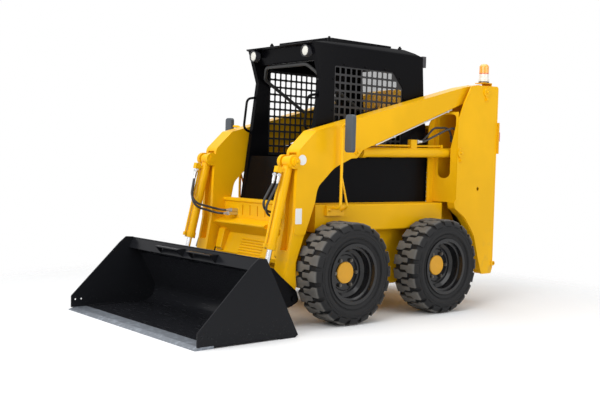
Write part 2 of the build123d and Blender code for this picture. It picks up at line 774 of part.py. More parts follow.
def lift_arm(side):
    """One arm with forks for the two cylinders, bored for its pins."""
    whole = slab(arm_rows(), ARM_INNER_X, ARM_OUTER_X)
    whole += bar_x(TILT_BASE_PIN, ARM_BOSS_RADIUS, ARM_INNER_X, ARM_OUTER_X)
    slack = EYE_WIDTH / 2 + 12
    fork = (CYLINDER_X - slack, CYLINDER_X + slack)
    tilt_y, tilt_z = TILT_BASE_PIN
    pocket = bar_x(TILT_BASE_PIN, 78, *fork)
    pocket += slab(
        (
            (tilt_y - 120, tilt_z + 78, 0),
            (tilt_y + 20, tilt_z + 78, 0),
            (tilt_y + 78, tilt_z, 0),
            (tilt_y + 70, tilt_z - 120, 0),
            (tilt_y + 46, tilt_z - 300, 0),
            (tilt_y + 30, 560, 0),
            (tilt_y - 250, 560, 0),
        ),
        *fork,
    )
    whole -= pocket
    eye_y, eye_z = LIFT_EYE_PIN
    eye_pocket = (
        (eye_y - EYE_RADIUS - 20, eye_z + LIFT_EYE_ROOM, 40),
        (eye_y - EYE_RADIUS - 20, eye_z - 120, 0),
        (eye_y + 360, eye_z - 120, 0),
        (eye_y + 360, eye_z + LIFT_EYE_ROOM, 0),
    )
    whole -= slab(eye_pocket, *fork)
    reach = (TOWER_INNER_X + TOWER_PLATE + 2, TOWER_OUTER_X - TOWER_PLATE - 2)
    whole += bar_x(ARM_PIVOT, ARM_BOSS_RADIUS - 4, *reach)
    whole -= bar_x(ARM_PIVOT, PIN_RADIUS + PIN_FIT, 0, TOWER_OUTER_X)
    whole += bar_x(LIFT_EYE_PIN, PIN_RADIUS, ARM_INNER_X - 4, fork[0] + 8)
    whole += bar_x(LIFT_EYE_PIN, PIN_RADIUS, fork[1] - 8, ARM_OUTER_X + 8)
    whole += bar_x(TILT_BASE_PIN, PIN_RADIUS, ARM_INNER_X - 4, ARM_OUTER_X + 8)
    whole -= bar_x(BUCKET_PIN, PIN_RADIUS + PIN_FIT, ARM_INNER_X - 10, ARM_OUTER_X + 10)
    return on_side(whole, side)


def cross_member():
    """Pressed cross member between the arm legs: box, forward shelf and lower plate."""
    half = ARM_INNER_X - FIT
    shelf = (
        (CROSS_FRONT_Y + CROSS_DEPTH, CROSS_TOP_Z, 6),
        (CROSS_FRONT_Y - 14, CROSS_TOP_Z, 4),
        (CROSS_FRONT_Y - 14, CROSS_TOP_Z - 24, 4),
        (CROSS_FRONT_Y, CROSS_TOP_Z - 32, 0),
        (CROSS_FRONT_Y, CROSS_SHELF_Z, 0),
        (CROSS_FRONT_Y - CROSS_SHELF_REACH, CROSS_SHELF_Z - 30, 4),
        (CROSS_FRONT_Y - CROSS_SHELF_REACH, CROSS_SHELF_Z - 30 - CROSS_PLATE, 4),
        (CROSS_FRONT_Y - 20, CROSS_SHELF_Z - 120, 10),
        (CROSS_FRONT_Y - 84, CROSS_FOOT_Z + 30, 0),
        (CROSS_FRONT_Y - 76, CROSS_FOOT_Z, 0),
        (CROSS_FRONT_Y - 64, CROSS_FOOT_Z, 0),
        (CROSS_FRONT_Y - 6, CROSS_SHELF_Z - 110, 10),
        (CROSS_FRONT_Y + CROSS_DEPTH, CROSS_SHELF_Z, 10),
    )
    return slab(shelf, -half, half)


def arm_hoses():
    """Tilt hoses from the cross member to the tilt cylinders."""
    whole = Part()
    for _, side in SIDES:
        for step in (0, 1):
            x = side * (430 - 26 * step)
            points = (
                (side * 300, CROSS_FRONT_Y - 9 - FIT, 830 - 30 * step),
                (side * 390, CROSS_FRONT_Y - 9 - FIT, 826 - 30 * step),
                (x, CROSS_FRONT_Y - 200, 900),
                (x, CROSS_FRONT_Y - 215, 1040),
            )
            whole += tube(points, 30, 9)
    return whole


# Cylinders

def cylinder_barrel(base, eye, radius, showing):
    """Barrel with its base eye, end cap, gland and port blocks, along a line from base to eye."""
    length, line = line_between(base, eye)
    end = length - EYE_RADIUS - showing
    start = (CYLINDER_X, *along(base, line, EYE_RADIUS - 6))
    finish = (CYLINDER_X, *along(base, line, end))
    gland = (CYLINDER_X, *along(base, line, end - GLAND_LENGTH))
    whole = bar(start, finish, radius)
    whole += bar(gland, finish, radius + 5)
    half = EYE_WIDTH / 2
    whole += bar_x(base, EYE_RADIUS, CYLINDER_X - half, CYLINDER_X + half)
    whole -= bar_x(base, PIN_RADIUS + PIN_FIT, CYLINDER_X - half, CYLINDER_X + half)
    return whole


def cylinder_bore(base, eye, rod_radius, whole):
    """Bore for the rod, from the gland inwards."""
    length, line = line_between(base, eye)
    start = (CYLINDER_X, *along(base, line, BORE_START))
    finish = (CYLINDER_X, *along(base, line, length))
    return whole - bar(start, finish, rod_radius + PIN_FIT)


def cylinder_rod(base, eye, rod_radius, rod_start):
    """Rod with its eye, reaching back into the barrel."""
    length, line = line_between(base, eye)
    start = (CYLINDER_X, *along(base, line, rod_start))
    finish = (CYLINDER_X, *along(base, line, length - EYE_RADIUS + 6))
    half = EYE_WIDTH / 2
    whole = bar(start, finish, rod_radius)
    whole += bar_x(eye, EYE_RADIUS, CYLINDER_X - half, CYLINDER_X + half)
    return whole


def lift_barrel(side):
    whole = cylinder_barrel(LIFT_BASE_PIN, LIFT_EYE_PIN, LIFT_BARREL_RADIUS, LIFT_ROD_SHOWING)
    return on_side(cylinder_bore(LIFT_BASE_PIN, LIFT_EYE_PIN, LIFT_ROD_RADIUS, whole), side)


def lift_rod(side):
    whole = cylinder_rod(LIFT_BASE_PIN, LIFT_EYE_PIN, LIFT_ROD_RADIUS, LIFT_ROD_START)
    whole -= bar_x(LIFT_EYE_PIN, PIN_RADIUS + PIN_FIT, 0, TOWER_OUTER_X)
    return on_side(whole, side)


def tilt_barrel(side):
    whole = cylinder_barrel(TILT_BASE_PIN, TILT_EYE_PIN, TILT_BARREL_RADIUS, TILT_ROD_SHOWING)
    return on_side(cylinder_bore(TILT_BASE_PIN, TILT_EYE_PIN, TILT_ROD_RADIUS, whole), side)


def tilt_rod(side):
    whole = cylinder_rod(TILT_BASE_PIN, TILT_EYE_PIN, TILT_ROD_RADIUS, TILT_ROD_START)
    ear_x = (ARM_INNER_X - EAR_GAP + FIT, ARM_OUTER_X + EAR_GAP - FIT)
    whole += bar_x(TILT_EYE_PIN, PIN_RADIUS - 5, *ear_x)
    return on_side(whole, side)


# Bucket and coupler

def back_place(z, offset=0.0):
    """Place on the rear face of the bucket's back at a height, moved out by an offset."""
    _, line = line_between((HEEL_Y, FLOOR_Z), (BUCKET_TOP_Y, BUCKET_TOP_Z))
    distance = (z - FLOOR_Z) / line[1]
    return along((HEEL_Y, FLOOR_Z), line, distance, -offset)


def bucket_shell():
    """Floor, heel and back rolled from one sheet, with side plates and the top lip box."""
    edge_back = BUCKET_LIP_Y + EDGE_DEPTH
    _, line = line_between((HEEL_Y, FLOOR_Z), (BUCKET_TOP_Y, BUCKET_TOP_Z))
    top = (BUCKET_TOP_Y, BUCKET_TOP_Z)
    top_in = along(top, line, 0, SHELL)
    heel_in = (HEEL_Y - SHELL * 1.7, FLOOR_Z + SHELL)
    half = BUCKET_HALF_WIDTH
    sheet = (
        (edge_back, FLOOR_Z, 0),
        (HEEL_Y, FLOOR_Z, HEEL_RADIUS),
        (*top, 0),
        (*top_in, 0),
        (*heel_in, HEEL_RADIUS - SHELL),
        (edge_back, FLOOR_Z + SHELL, 0),
    )
    whole = slab(sheet, -half + 1, half - 1)
    lip_front = (BUCKET_TOP_Y - LIP_BOX_REACH, BUCKET_TOP_Z - LIP_BOX_DROP)
    lip_low = along(top, line, -LIP_BOX_DROP - 60, 0)
    lip = ((*top, 0), (*lip_front, 0), (*lip_low, 0))
    whole += slab(lip, -half + 1, half - 1)
    side_rows = (
        (BUCKET_LIP_Y + 17, EDGE_THICKNESS, 0),
        (edge_back, EDGE_THICKNESS, 0),
        (edge_back, FLOOR_Z - 2, 0),
        (HEEL_Y - 160, FLOOR_Z - 2, 0),
        (HEEL_Y - 150, 0, 0),
        (HEEL_Y - 22, 0, 4),
        (HEEL_Y + 4, 18, 0),
        (BUCKET_TOP_Y, BUCKET_TOP_Z + 2, 8),
        (BUCKET_TOP_Y - 66, BUCKET_TOP_Z + 6, 12),
        (-1027, 519, 30),
        (BUCKET_LIP_Y + 17, 110, 12),
    )
    plate = slab(side_rows, half - SIDE_PLATE, half)
    for y in SIDE_HOLES_Y:
        plate -= bar_x((y, SIDE_HOLES_Z), SIDE_HOLE_RADIUS, half - SIDE_PLATE - 1, half + 1)
    for _, side in SIDES:
        whole += on_side(plate, side)
    heel = slab(
        (
            (HEEL_Y - 150, FLOOR_Z + 2, 0),
            (HEEL_Y - 150, 0, 0),
            (HEEL_Y - 70, 0, 0),
            (HEEL_Y - 70, FLOOR_Z + 2, 0),
        ),
        -half + 1,
        half - 1,
    )
    return whole + heel


def cutting_edge():
    """Bevelled edge bar bolted under the front of the floor."""
    back = BUCKET_LIP_Y + EDGE_DEPTH
    rows = (
        (BUCKET_LIP_Y, 0, 0),
        (back - FIT, 0, 0),
        (back - FIT, EDGE_THICKNESS - FIT, 0),
        (BUCKET_LIP_Y + 40, EDGE_THICKNESS - FIT, 0),
        (BUCKET_LIP_Y, 4, 0),
    )
    return slab(rows, -BUCKET_HALF_WIDTH, BUCKET_HALF_WIDTH)


def quick_coupler():
    """Coupler plate on the bucket's back with ears for the bucket and tilt pins."""
    low = back_place(COUPLER_LOW_Z, FIT)
    high = back_place(COUPLER_HIGH_Z, FIT)
    low_out = back_place(COUPLER_LOW_Z + 8, FIT + COUPLER_PLATE)
    high_out = back_place(COUPLER_HIGH_Z + 8, FIT + COUPLER_PLATE)
    plate = ((*low, 0), (*high, 0), (*high_out, 0), (*low_out, 0))
    reach = ARM_OUTER_X + EAR_GAP + COUPLER_EAR
    whole = slab(plate, -reach, reach)
    pin_y, pin_z = BUCKET_PIN
    eye_y, eye_z = TILT_EYE_PIN
    ear = (
        (*low_out, 0),
        (*high_out, 0),
        (eye_y + 10, eye_z + 78, 30),
        (eye_y + 62, eye_z + 30, 40),
        (pin_y + 22, pin_z + 52, 40),
        (pin_y + 46, pin_z - 20, 30),
        (pin_y - 20, pin_z - 52, 30),
    )
    inner = (ARM_INNER_X - EAR_GAP - COUPLER_EAR, ARM_INNER_X - EAR_GAP)
    outer = (ARM_OUTER_X + EAR_GAP, ARM_OUTER_X + EAR_GAP + COUPLER_EAR)
    for _, side in SIDES:
        pair = slab(ear, *inner) + slab(ear, *outer)
        pair += bar_x(BUCKET_PIN, PIN_RADIUS, inner[0] - 6, outer[1] + 10)
        whole += on_side(pair, side)
    return whole


# Every piece by name

def pieces():
    """Node name to solid."""
    made = {
        "chassis_frame": chassis_frame(),
        "axle_housings": axle_housings(),
        "engine_block": engine_block(),
        "rear_bumper": rear_bumper(),
        "cab_floor": cab_floor(),
        "cab_roof": cab_roof(),
        "cab_rear": cab_rear(),
        "cab_front": cab_front(),
        "seat": seat(),
        "control_levers": control_levers(),
        "grab_handles": grab_handles(),
        "work_lamps": work_lamps(),
        "beacon": beacon(),
        "tail_lamps": tail_lamps(),
        "rear_door": rear_door(),
        "engine_hood": engine_hood(),
        "cross_member": cross_member(),
        "arm_hoses": arm_hoses(),
        "quick_coupler": quick_coupler(),
        "bucket_shell": bucket_shell(),
        "cutting_edge": cutting_edge(),
    }
    handed = (
        ("tower", tower),
        ("cab_side", cab_side),
        ("window_mesh", window_mesh),
        ("mirror", mirror_assembly),
        ("lift_arm", lift_arm),
        ("lift_barrel", lift_barrel),
        ("lift_rod", lift_rod),
        ("tilt_barrel", tilt_barrel),
        ("tilt_rod", tilt_rod),
    )
    for name, make in handed:
        for word, side in SIDES:
            made[f"{name}_{word}"] = make(side)
    for axle, y in AXLES:
        for word, side in SIDES:
            place = f"{axle}_{word}"
            for name, make in (("tyre", tyre), ("rim", rim), ("hub", hub)):
                made[f"{name}_{place}"] = on_side(make(TRACK_X, y), side)
    return made


os.makedirs("parts", exist_ok=True)
for node, solid in pieces().items():
    export_step(Pos(0, -CENTRE_Y, 0) * solid, f"parts/{node}.step")
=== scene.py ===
"""Looks for a wheeled skid steer loader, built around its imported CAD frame.

Everything is in metres: +X is the operator's left, the machine faces -Y, Z = 0 is the ground.
"""

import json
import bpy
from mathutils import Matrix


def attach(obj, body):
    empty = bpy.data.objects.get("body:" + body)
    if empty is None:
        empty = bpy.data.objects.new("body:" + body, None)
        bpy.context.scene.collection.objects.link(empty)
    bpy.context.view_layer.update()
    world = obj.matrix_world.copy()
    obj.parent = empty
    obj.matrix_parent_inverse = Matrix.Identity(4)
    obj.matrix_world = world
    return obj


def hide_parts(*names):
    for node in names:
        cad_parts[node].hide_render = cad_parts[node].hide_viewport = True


bl_info = {
    "name": "Skid steer loader dresser",
    "version": (1, 0, 0),
    "blender": (4, 5, 0),
    "location": "3D View > Sidebar > Loader",
    "description": "Paints and details a skid steer loader around its CAD frame",
    "category": "Object",
}

from math import ceil, cos, degrees, hypot, pi, radians, sin, tan

import bmesh
import bpy
from bpy.props import FloatProperty, FloatVectorProperty, PointerProperty
from mathutils import Matrix, Vector

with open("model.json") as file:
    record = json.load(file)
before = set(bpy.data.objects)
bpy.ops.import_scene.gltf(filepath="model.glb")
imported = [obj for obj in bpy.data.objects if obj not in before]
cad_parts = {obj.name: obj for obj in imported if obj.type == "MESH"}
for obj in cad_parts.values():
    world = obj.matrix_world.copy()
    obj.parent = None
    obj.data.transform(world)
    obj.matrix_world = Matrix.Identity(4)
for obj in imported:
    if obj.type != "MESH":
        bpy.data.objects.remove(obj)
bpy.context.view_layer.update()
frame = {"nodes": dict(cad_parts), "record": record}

SHIFT_Y = -0.1845

# Sizes in millimetres, with Y = 0 at the front axle and Z = 0 at the ground

# Clearances and pins
FIT = 0.3
PIN_FIT = 0.4
PIN_RADIUS = 25.0

# Tyres
TYRE_RADIUS = 386.5
TYRE_WIDTH = 264.0
LUG_COUNT = 20
LUG_DEPTH = 19.0
LUG_SHOULDER = 40.0
LUG_TIP = 18.0
BEAD_RADIUS = 210.0
RIM_FLANGE_RADIUS = 230.0

# Widths, from the tub outwards
TUB_HALF_WIDTH = 440.0
ARM_WIDTH = 148.0
ARM_TO_TUB = 26.0
ARM_TO_TOWER = 36.0
TOWER_PLATE = 10.0
TYRE_TO_TUB = 117.0
TYRE_TO_SILL = 9.0
TRACK_X = TUB_HALF_WIDTH + TYRE_TO_TUB + TYRE_WIDTH / 2
SILL_X = TUB_HALF_WIDTH + TYRE_TO_TUB - TYRE_TO_SILL
ARM_INNER_X = TUB_HALF_WIDTH + ARM_TO_TUB
ARM_OUTER_X = ARM_INNER_X + ARM_WIDTH
CYLINDER_X = ARM_INNER_X + ARM_WIDTH / 2
TOWER_INNER_X = TUB_HALF_WIDTH
TOWER_OUTER_X = ARM_OUTER_X + ARM_TO_TOWER + TOWER_PLATE
CAB_X = TUB_HALF_WIDTH - 16.5

# Lengths, from the front axle backwards
WHEELBASE = 1018.0
TOWER_DEPTH = 519.0
REAR_AXLE_Y = WHEELBASE
TOWER_FRONT_Y = WHEELBASE + 263.0
TOWER_REAR_Y = TOWER_FRONT_Y + TOWER_DEPTH
TUB_REAR_Y = TOWER_REAR_Y - 48.0
SILL_FRONT_Y = -185.0
SILL_REAR_Y = TOWER_FRONT_Y - 50.0
CAB_REAR_Y = TOWER_FRONT_Y - 125.0

# Chassis
DECK_Z = 895.0
SILL_BOTTOM_Z = 685.0
TOW_EYE_RADIUS = 20.0
TOW_EYE_REACH = 25.0

# Rear towers that carry the arms
TOWER_TOP_FRONT_Y = TOWER_FRONT_Y + 154.0
TOWER_TOP_FRONT_Z = 1897.0
TOWER_TOP_REAR_Z = 1932.0
TOWER_FOOT_Z = 268.0
FLANGE_SLANT = 66.0
FLANGE_EDGE = 14.0
INNER_PLATE_REACH = 138.0
ARCH_FLANGE = 70.0
SLOT_LOW_Z = 1106.0
SLOT_WIDE_Z = 1364.0
SLOT_HIGH_Z = 1650.0
FLANGE_HIGH_Z = 1672.0
SLOT_WIDTH = 112.0
PLUG_HOLE = (TOWER_REAR_Y - 237.0, 1018.0)
PLUG_RADIUS = 16.0
KEEPER_RADIUS = 40.0

# Beacon's shelf
BEACON_X = TUB_HALF_WIDTH + 90.0
BEACON_Y = TOWER_REAR_Y - 50.0
BEACON_BASE_RADIUS = 48.0
SHELF_Z = 1956.0
SHELF_THICKNESS = 8.0

# Lift arms and their pivots (y, z)
ARM_PIVOT = (TOWER_REAR_Y - 162.0, 1860.0)
LIFT_BASE_PIN = (TOWER_FRONT_Y + 37.0, 1324.0)
LIFT_EYE_PIN = (165.0, 1300.0)
TILT_BASE_PIN = (-445.0, 1212.0)
BUCKET_PIN = (-440.0, 215.0)
TILT_EYE_PIN = (-645.0, 370.0)
ARM_BOSS_RADIUS = 52.0
ARM_DOUBLER = 6.0
DOUBLER_LOW_Z = 677.0
LIFT_EYE_ROOM = 114.0
FORK_SLACK = 12.0

# Cross member between the arms
CROSS_TOP_Z = 905.0
CROSS_FRONT_Y = -312.0
CROSS_DEPTH = 62.0
CROSS_SHELF_Z = 745.0
CROSS_SHELF_REACH = 100.0
CROSS_SHELF_DROP = 30.0
CROSS_LIP = 14.0
CROSS_PLATE = 12.0
CROSS_FOOT_Z = 440.0
CROSS_SLOTS_X = (-210.0, -110.0, -10.0, 90.0)
CROSS_SLOT = (12.0, 80.0)
BRACKETS_X = (-392.0, 392.0)
BRACKET_HALF = 40.0
NOTCH_X = (210.0, 290.0)
HOSE_END_X = 300.0
HOSE_ELBOW = 44.0
LOUVRE_COUNT = 7
LOUVRE_PITCH = 22.0
LOUVRE_HALF_LENGTH = 150.0
LOUVRE_HEIGHT = 7.0

# Cylinders
LIFT_BARREL_RADIUS = 40.0
LIFT_ROD_RADIUS = 22.0
TILT_BARREL_RADIUS = 37.0
TILT_ROD_RADIUS = 20.0
EYE_RADIUS = 42.0
EYE_WIDTH = 62.0
GLAND_LENGTH = 46.0
LIFT_ROD_SHOWING = 60.0
TILT_ROD_SHOWING = 165.0
BORE_START = 72.0
PIPE_RADIUS = 8.0
PIPE_CLEAR = 15.0
PORT_WIDTH = 40.0
PORT_ROOT = 12.0
# Place along the barrel, lowest and highest part above its surface, and length of each port block
LIFT_PORT = (466.0, -10.0, 66.0, 69.0)
TILT_PORT = (79.0, 21.0, 65.0, 45.0)
# Base, eye, barrel's and rod's radius, rod showing, port and pipe ends before the gland's
CYLINDERS = {
    "lift": (
        LIFT_BASE_PIN, LIFT_EYE_PIN, LIFT_BARREL_RADIUS, LIFT_ROD_RADIUS, LIFT_ROD_SHOWING,
        LIFT_PORT, (118.0,),
    ),
    "tilt": (
        TILT_BASE_PIN, TILT_EYE_PIN, TILT_BARREL_RADIUS, TILT_ROD_RADIUS, TILT_ROD_SHOWING,
        TILT_PORT, (),
    ),
}

# Hoses
HOSE_RADIUS = 9.0
FITTING_RADIUS = 12.0
FITTING_LENGTH = 58.0
HOSE_BEND = 90.0
# Offsets across and along the machine, and drop at the cross member, of each hose of a pair
HOSE_PAIR = ((-14.0, -11.0, 0.0), (14.0, 9.0, 27.0))
BOOM_PIPE_RADIUS = 7.0

# Bucket
BUCKET_HALF_WIDTH = 915.0
BUCKET_LIP_Y = -1457.0
EDGE_DEPTH = 144.0
EDGE_THICKNESS = 20.0
SHELL = 8.0
SIDE_PLATE = 10.0
FLOOR_Z = 12.0
HEEL_Y = -623.0
BUCKET_TOP_Y = -906.0
BUCKET_TOP_Z = 557.0
HEEL_RADIUS = 110.0
LIP_BOX_DROP = 86.0
LIP_BOX_REACH = 40.0
SIDE_HOLES_Y = (-1405.0, -1356.0)
SIDE_HOLES_Z = 80.0
SIDE_HOLE_RADIUS = 7.0
STEP_CENTRES_X = (-245.0, 200.0)
STEP_HALF_WIDTH = 160.0
STEP_REACH = 46.0
STEP_RISE = 62.0
STEP_PLATE = 10.0

# Cab
CAB_POST = 42.0
CAB_SKIN = 5.0
CAB_PLATE = 30.0
ROOF_Z = 2150.0
ROOF_THICKNESS = 38.0
ROOF_SLOPE = 44.0
CAB_FLOOR_Z = 560.0
SEAT_PAN_Z = DECK_Z + 70.0
SEAT_FRONT_Y = 430.0
ROOF_LOW_Z = ROOF_Z - ROOF_THICKNESS
CAB_HEIGHT = ROOF_LOW_Z - DECK_Z
CAB_KNEE_Z = DECK_Z + 0.31 * CAB_HEIGHT
CAB_BEND_Z = DECK_Z + 0.74 * CAB_HEIGHT
REAR_WINDOW_Z = DECK_Z + 0.61 * CAB_HEIGHT
POST_FOOT_Y = -185.0
POST_KNEE_Y = -57.0
POST_KNEE_Z = DECK_Z + 0.79 * CAB_HEIGHT
VISOR_Y = -171.0
HANDLE_RADIUS = 10.0
HANDLE_FOOT = 6.0
HANDLE_LOW_Z = DECK_Z + 0.45 * CAB_HEIGHT
HANDLE_HIGH_Z = DECK_Z + 0.69 * CAB_HEIGHT
HEADER_DROP = 112.0
HATCH_HEIGHT = 24.0
HATCH_X = (-330.0, 330.0)
HATCH_Y = (90.0, 800.0)
LIFTING_EYES = ((-368.0, 60.0), (368.0, 60.0), (368.0, 840.0), (-368.0, 840.0))
LAMP_RADIUS = 46.0
REAR_LAMP_X = (330.0, 420.0)
REAR_LAMP_Z = (ROOF_Z - 110.0, ROOF_Z - 16.0)
MESH_THICKNESS = 4.0
MESH_COLUMNS = 13
MESH_ROWS = 11
MESH_HOLE = (43.0, 47.0)
MESH_PITCH = (57.5, 62.5)
MESH_FRONT_Y = 92.0
MESH_LOW_Z = 1285.0
MESH_MARGIN = 11.0
MIRROR_PLACE = (ARM_OUTER_X + 168.0, 1432.0)
MIRROR_HALF = (44.0, 140.0)
GLASS_HALF = (40.0, 132.0)
MIRROR_ROD_RADIUS = 11.0

# Rear door and engine hood
DOOR_Z_LOW = 440.0
DOOR_Z_HIGH = 1330.0
DOOR_THICKNESS = 40.0
DOOR_GAP = 6.0
DOOR_LOUVRES = 9
DOOR_LOUVRE_PITCH = 46.0
DOOR_LOUVRE_HEIGHT = 26.0
DOOR_LOUVRE_HALF = 150.0
HOOD_PIN = (TOWER_FRONT_Y - 46.0, 1524.0)
HOOD_PIN_RADIUS = 9.0
DOOR_HINGE_X = -TUB_HALF_WIDTH - 12.0
DOOR_HINGE_Y = TOWER_REAR_Y + 15.0
DOOR_PIN_RADIUS = 7.0
DOOR_KNUCKLE_RADIUS = 11.0
DOOR_HINGE_HEIGHTS = (620.0, 1150.0)
DOOR_HINGE_LENGTH = 70.0
DOOR_LUG = 16.0
DOOR_REAR_Y = TOWER_REAR_Y + 26.0

SIDES = (("left", 1), ("right", -1))
AXLES = (("front", 0.0), ("rear", REAR_AXLE_Y))

# Stage, in metres and watts: name, place, size and power of each light
LIGHTS = (
    ("key_light", (1.6, -6.2, 4.6), (6.5, 4.5), 335.0),
    ("fill_light", (6.0, 2.0, 3.0), (4.0, 3.0), 78.0),
    ("top_light", (0.0, 0.0, 6.0), (6.0, 6.0), 230.0),
)
LIGHT_TARGET = (0.0, 0.1, 0.9)
CAMERA_TARGET = (0.2, 0.1155, 0.9074)
CAMERA_SHIFT = -0.0559
ROOM_STRENGTH = 0.45
FLOOR_HALF = 14.0
# Where the seen floor starts to fade out, and over what length
FLOOR_FADE = (2.3, 1.5)

# Roughness of every noise pattern
NOISE_ROUGHNESS = 0.55


# Node trees

class Wire:
    """A node's socket that takes part in Python sums."""

    def __init__(self, board, socket):
        self.board = board
        self.socket = socket

    def _math(self, operation, *values):
        return self.board.node("ShaderNodeMath", {"operation": operation}, dict(enumerate(values)))

    def __add__(self, other):
        return self._math("ADD", self, other)

    def __radd__(self, other):
        return self._math("ADD", other, self)

    def __sub__(self, other):
        return self._math("SUBTRACT", self, other)

    def __rsub__(self, other):
        return self._math("SUBTRACT", other, self)

    def __mul__(self, other):
        return self._math("MULTIPLY", self, other)

    def __rmul__(self, other):
        return self._math("MULTIPLY", other, self)

    def size(self):
        """The value without its sign."""
        return self._math("ABSOLUTE", self)

    def sine(self):
        return self._math("SINE", self)

    def highest(self, other):
        return self._math("MAXIMUM", self, other)

    def above(self, level, width):
        """0 below level, 1 above level + width, smooth between."""
        settings = {"interpolation_type": "SMOOTHSTEP"}
        inputs = {"Value": self, "From Min": level, "From Max": level + width}
        return self.board.node("ShaderNodeMapRange", settings, inputs)


class Nodes:
    """A node tree whose nodes are made in Python."""

    def __init__(self, tree):
        self.tree = tree

    def node(self, kind, settings=None, inputs=None, out=0):
        """One node: its settings first, then the values or links of its sockets."""
        made = self.tree.nodes.new(kind)
        for key, value in (settings or {}).items():
            setattr(made, key, value)
        for key, value in (inputs or {}).items():
            socket = made.inputs[key]
            if isinstance(value, Wire):
                self.tree.links.new(value.socket, socket)
            elif socket.type == "RGBA":
                socket.default_value = (*value, 1.0)
            else:
                socket.default_value = value
        return Wire(self, made.outputs[out])


class Board(Nodes):
    """The node board of one material or, where one is given, of a world."""

    def __init__(self, name, world=None):
        self.material = world or bpy.data.materials.new(name)
        self.material.use_nodes = True
        super().__init__(self.material.node_tree)
        self.tree.nodes.clear()
        self.output = self.tree.nodes.new("ShaderNodeOutput" + ("World" if world else "Material"))

    def show(self, shader):
        """Sends a shader to the output."""
        self.tree.links.new(shader.socket, self.output.inputs["Surface"])

    def place(self):
        return self.node("ShaderNodeTexCoord", out="Object")

    def noise(self, scale, detail, vector=None):
        inputs = {"Scale": scale, "Detail": detail, "Roughness": NOISE_ROUGHNESS}
        inputs["Vector"] = vector or self.place()
        return self.node("ShaderNodeTexNoise", {}, inputs, out="Fac")

    def waves(self, direction, scale):
        """Bands that follow each other along one direction."""
        inputs = {"Vector": self.place(), "Scale": scale}
        return self.node("ShaderNodeTexWave", {"bands_direction": direction}, inputs, out="Fac")

    def length(self, vector):
        return self.node("ShaderNodeVectorMath", {"operation": "LENGTH"}, {0: vector}, out="Value")

    def mix(self, share, low, high):
        """Colour that runs from low to high by share."""
        inputs = {0: share, 6: low, 7: high}
        return self.node("ShaderNodeMix", {"data_type": "RGBA"}, inputs, out=2)

    def axis(self, word):
        """One coordinate of the place on the machine, in metres: X, Y or Z."""
        return self.node("ShaderNodeSeparateXYZ", {}, {"Vector": self.place()}, out=word)

    def bump(self, height, strength, distance):
        inputs = {"Height": height, "Strength": strength, "Distance": distance}
        return self.node("ShaderNodeBump", {}, inputs, out="Normal")

    def principled(self, **values):
        """Shows and hands out a shader whose sockets are named in small letters."""
        inputs = {}
        for word, value in values.items():
            inputs[word.replace("_", " ").title().replace("Ior", "IOR")] = value
        made = self.node("ShaderNodeBsdfPrincipled", {}, inputs)
        self.show(made)
        return made


# Materials

def from_axle(board):
    """Distance of the place from the nearer wheel axle, in metres."""
    half = WHEELBASE / 2000
    along = (board.axis("Y") - (SHIFT_Y + half)).size() - half
    inputs = {"X": along, "Y": board.axis("Z") - TYRE_RADIUS / 1000}
    reach = board.node("ShaderNodeCombineXYZ", {}, inputs)
    return board.length(reach)


def scaled(colour, factor):
    """A colour with each part multiplied."""
    return tuple(part * factor for part in colour)


def gloss_paint(board, colour):
    """Sprayed enamel with a slow colour drift, orange peel and dust that settles low."""
    drift = board.noise(1.7, 3.0).above(0.38, 0.3)
    body = board.mix(drift, scaled(colour, 0.9), colour)
    patches = board.noise(13.0, 5.0).above(0.5, 0.25)
    near_ground = 1 - board.axis("Z").above(0.1, 0.7)
    body = board.mix(patches * near_ground * 0.35, body, (0.33, 0.22, 0.09))
    board.principled(
        base_color=body,
        roughness=0.24 + board.noise(21.0, 4.0) * 0.14,
        specular_ior_level=0.12,
        coat_weight=0.06,
        coat_roughness=0.08,
        normal=board.bump(board.noise(170.0, 2.0), 0.04, 0.002),
    )


def cab_enamel(board, colour):
    """Black cab enamel with a soft shine, slight waviness and faint dust."""
    dust = board.noise(6.0, 6.0).above(0.52, 0.3)
    body = board.mix(dust * 0.25, colour, tuple(part * 1.6 + 0.001 for part in colour))
    board.principled(
        base_color=body,
        roughness=0.2 + board.noise(17.0, 4.0) * 0.1,
        specular_ior_level=0.05,
        coat_weight=0.01,
        coat_roughness=0.08,
        normal=board.bump(board.noise(5.0, 2.0), 0.05, 0.01),
    )


def satin_paint(board, colour, roughness, grain=220.0, relief=0.08):
    """Satin or powder coated metal, or moulded plastic, with a fine grain."""
    drift = board.noise(3.0, 4.0)
    lighter = tuple(min(1.0, part * 1.5 + 0.003) for part in colour)
    board.principled(
        base_color=board.mix(drift.above(0.45, 0.35), colour, lighter),
        roughness=(roughness - 0.06) + board.noise(14.0, 5.0) * 0.14,
        specular_ior_level=0.3,
        normal=board.bump(board.noise(grain, 3.0), relief, 0.001),
    )


def bucket_black(board, colour):
    """Bucket paint: smooth black, rubbed dull along the floor and scratched lengthwise."""
    place = board.place()
    streaks = board.node("ShaderNodeMapping", {}, {"Vector": place, "Scale": (2.0, 34.0, 34.0)})
    scratch = board.noise(3.0, 5.0, vector=streaks).above(0.6, 0.1)
    low = 1 - board.axis("Z").above(0.02, 0.22)
    dark = scaled(colour, 0.5)
    body = board.mix(scratch * low * 0.4, dark, (0.05, 0.05, 0.052))
    board.principled(
        base_color=body,
        roughness=0.18 + board.noise(9.0, 5.0) * 0.1 + scratch * low * 0.15,
        specular_ior_level=0.1,
        normal=board.bump(board.noise(60.0, 3.0), 0.05, 0.002),
    )


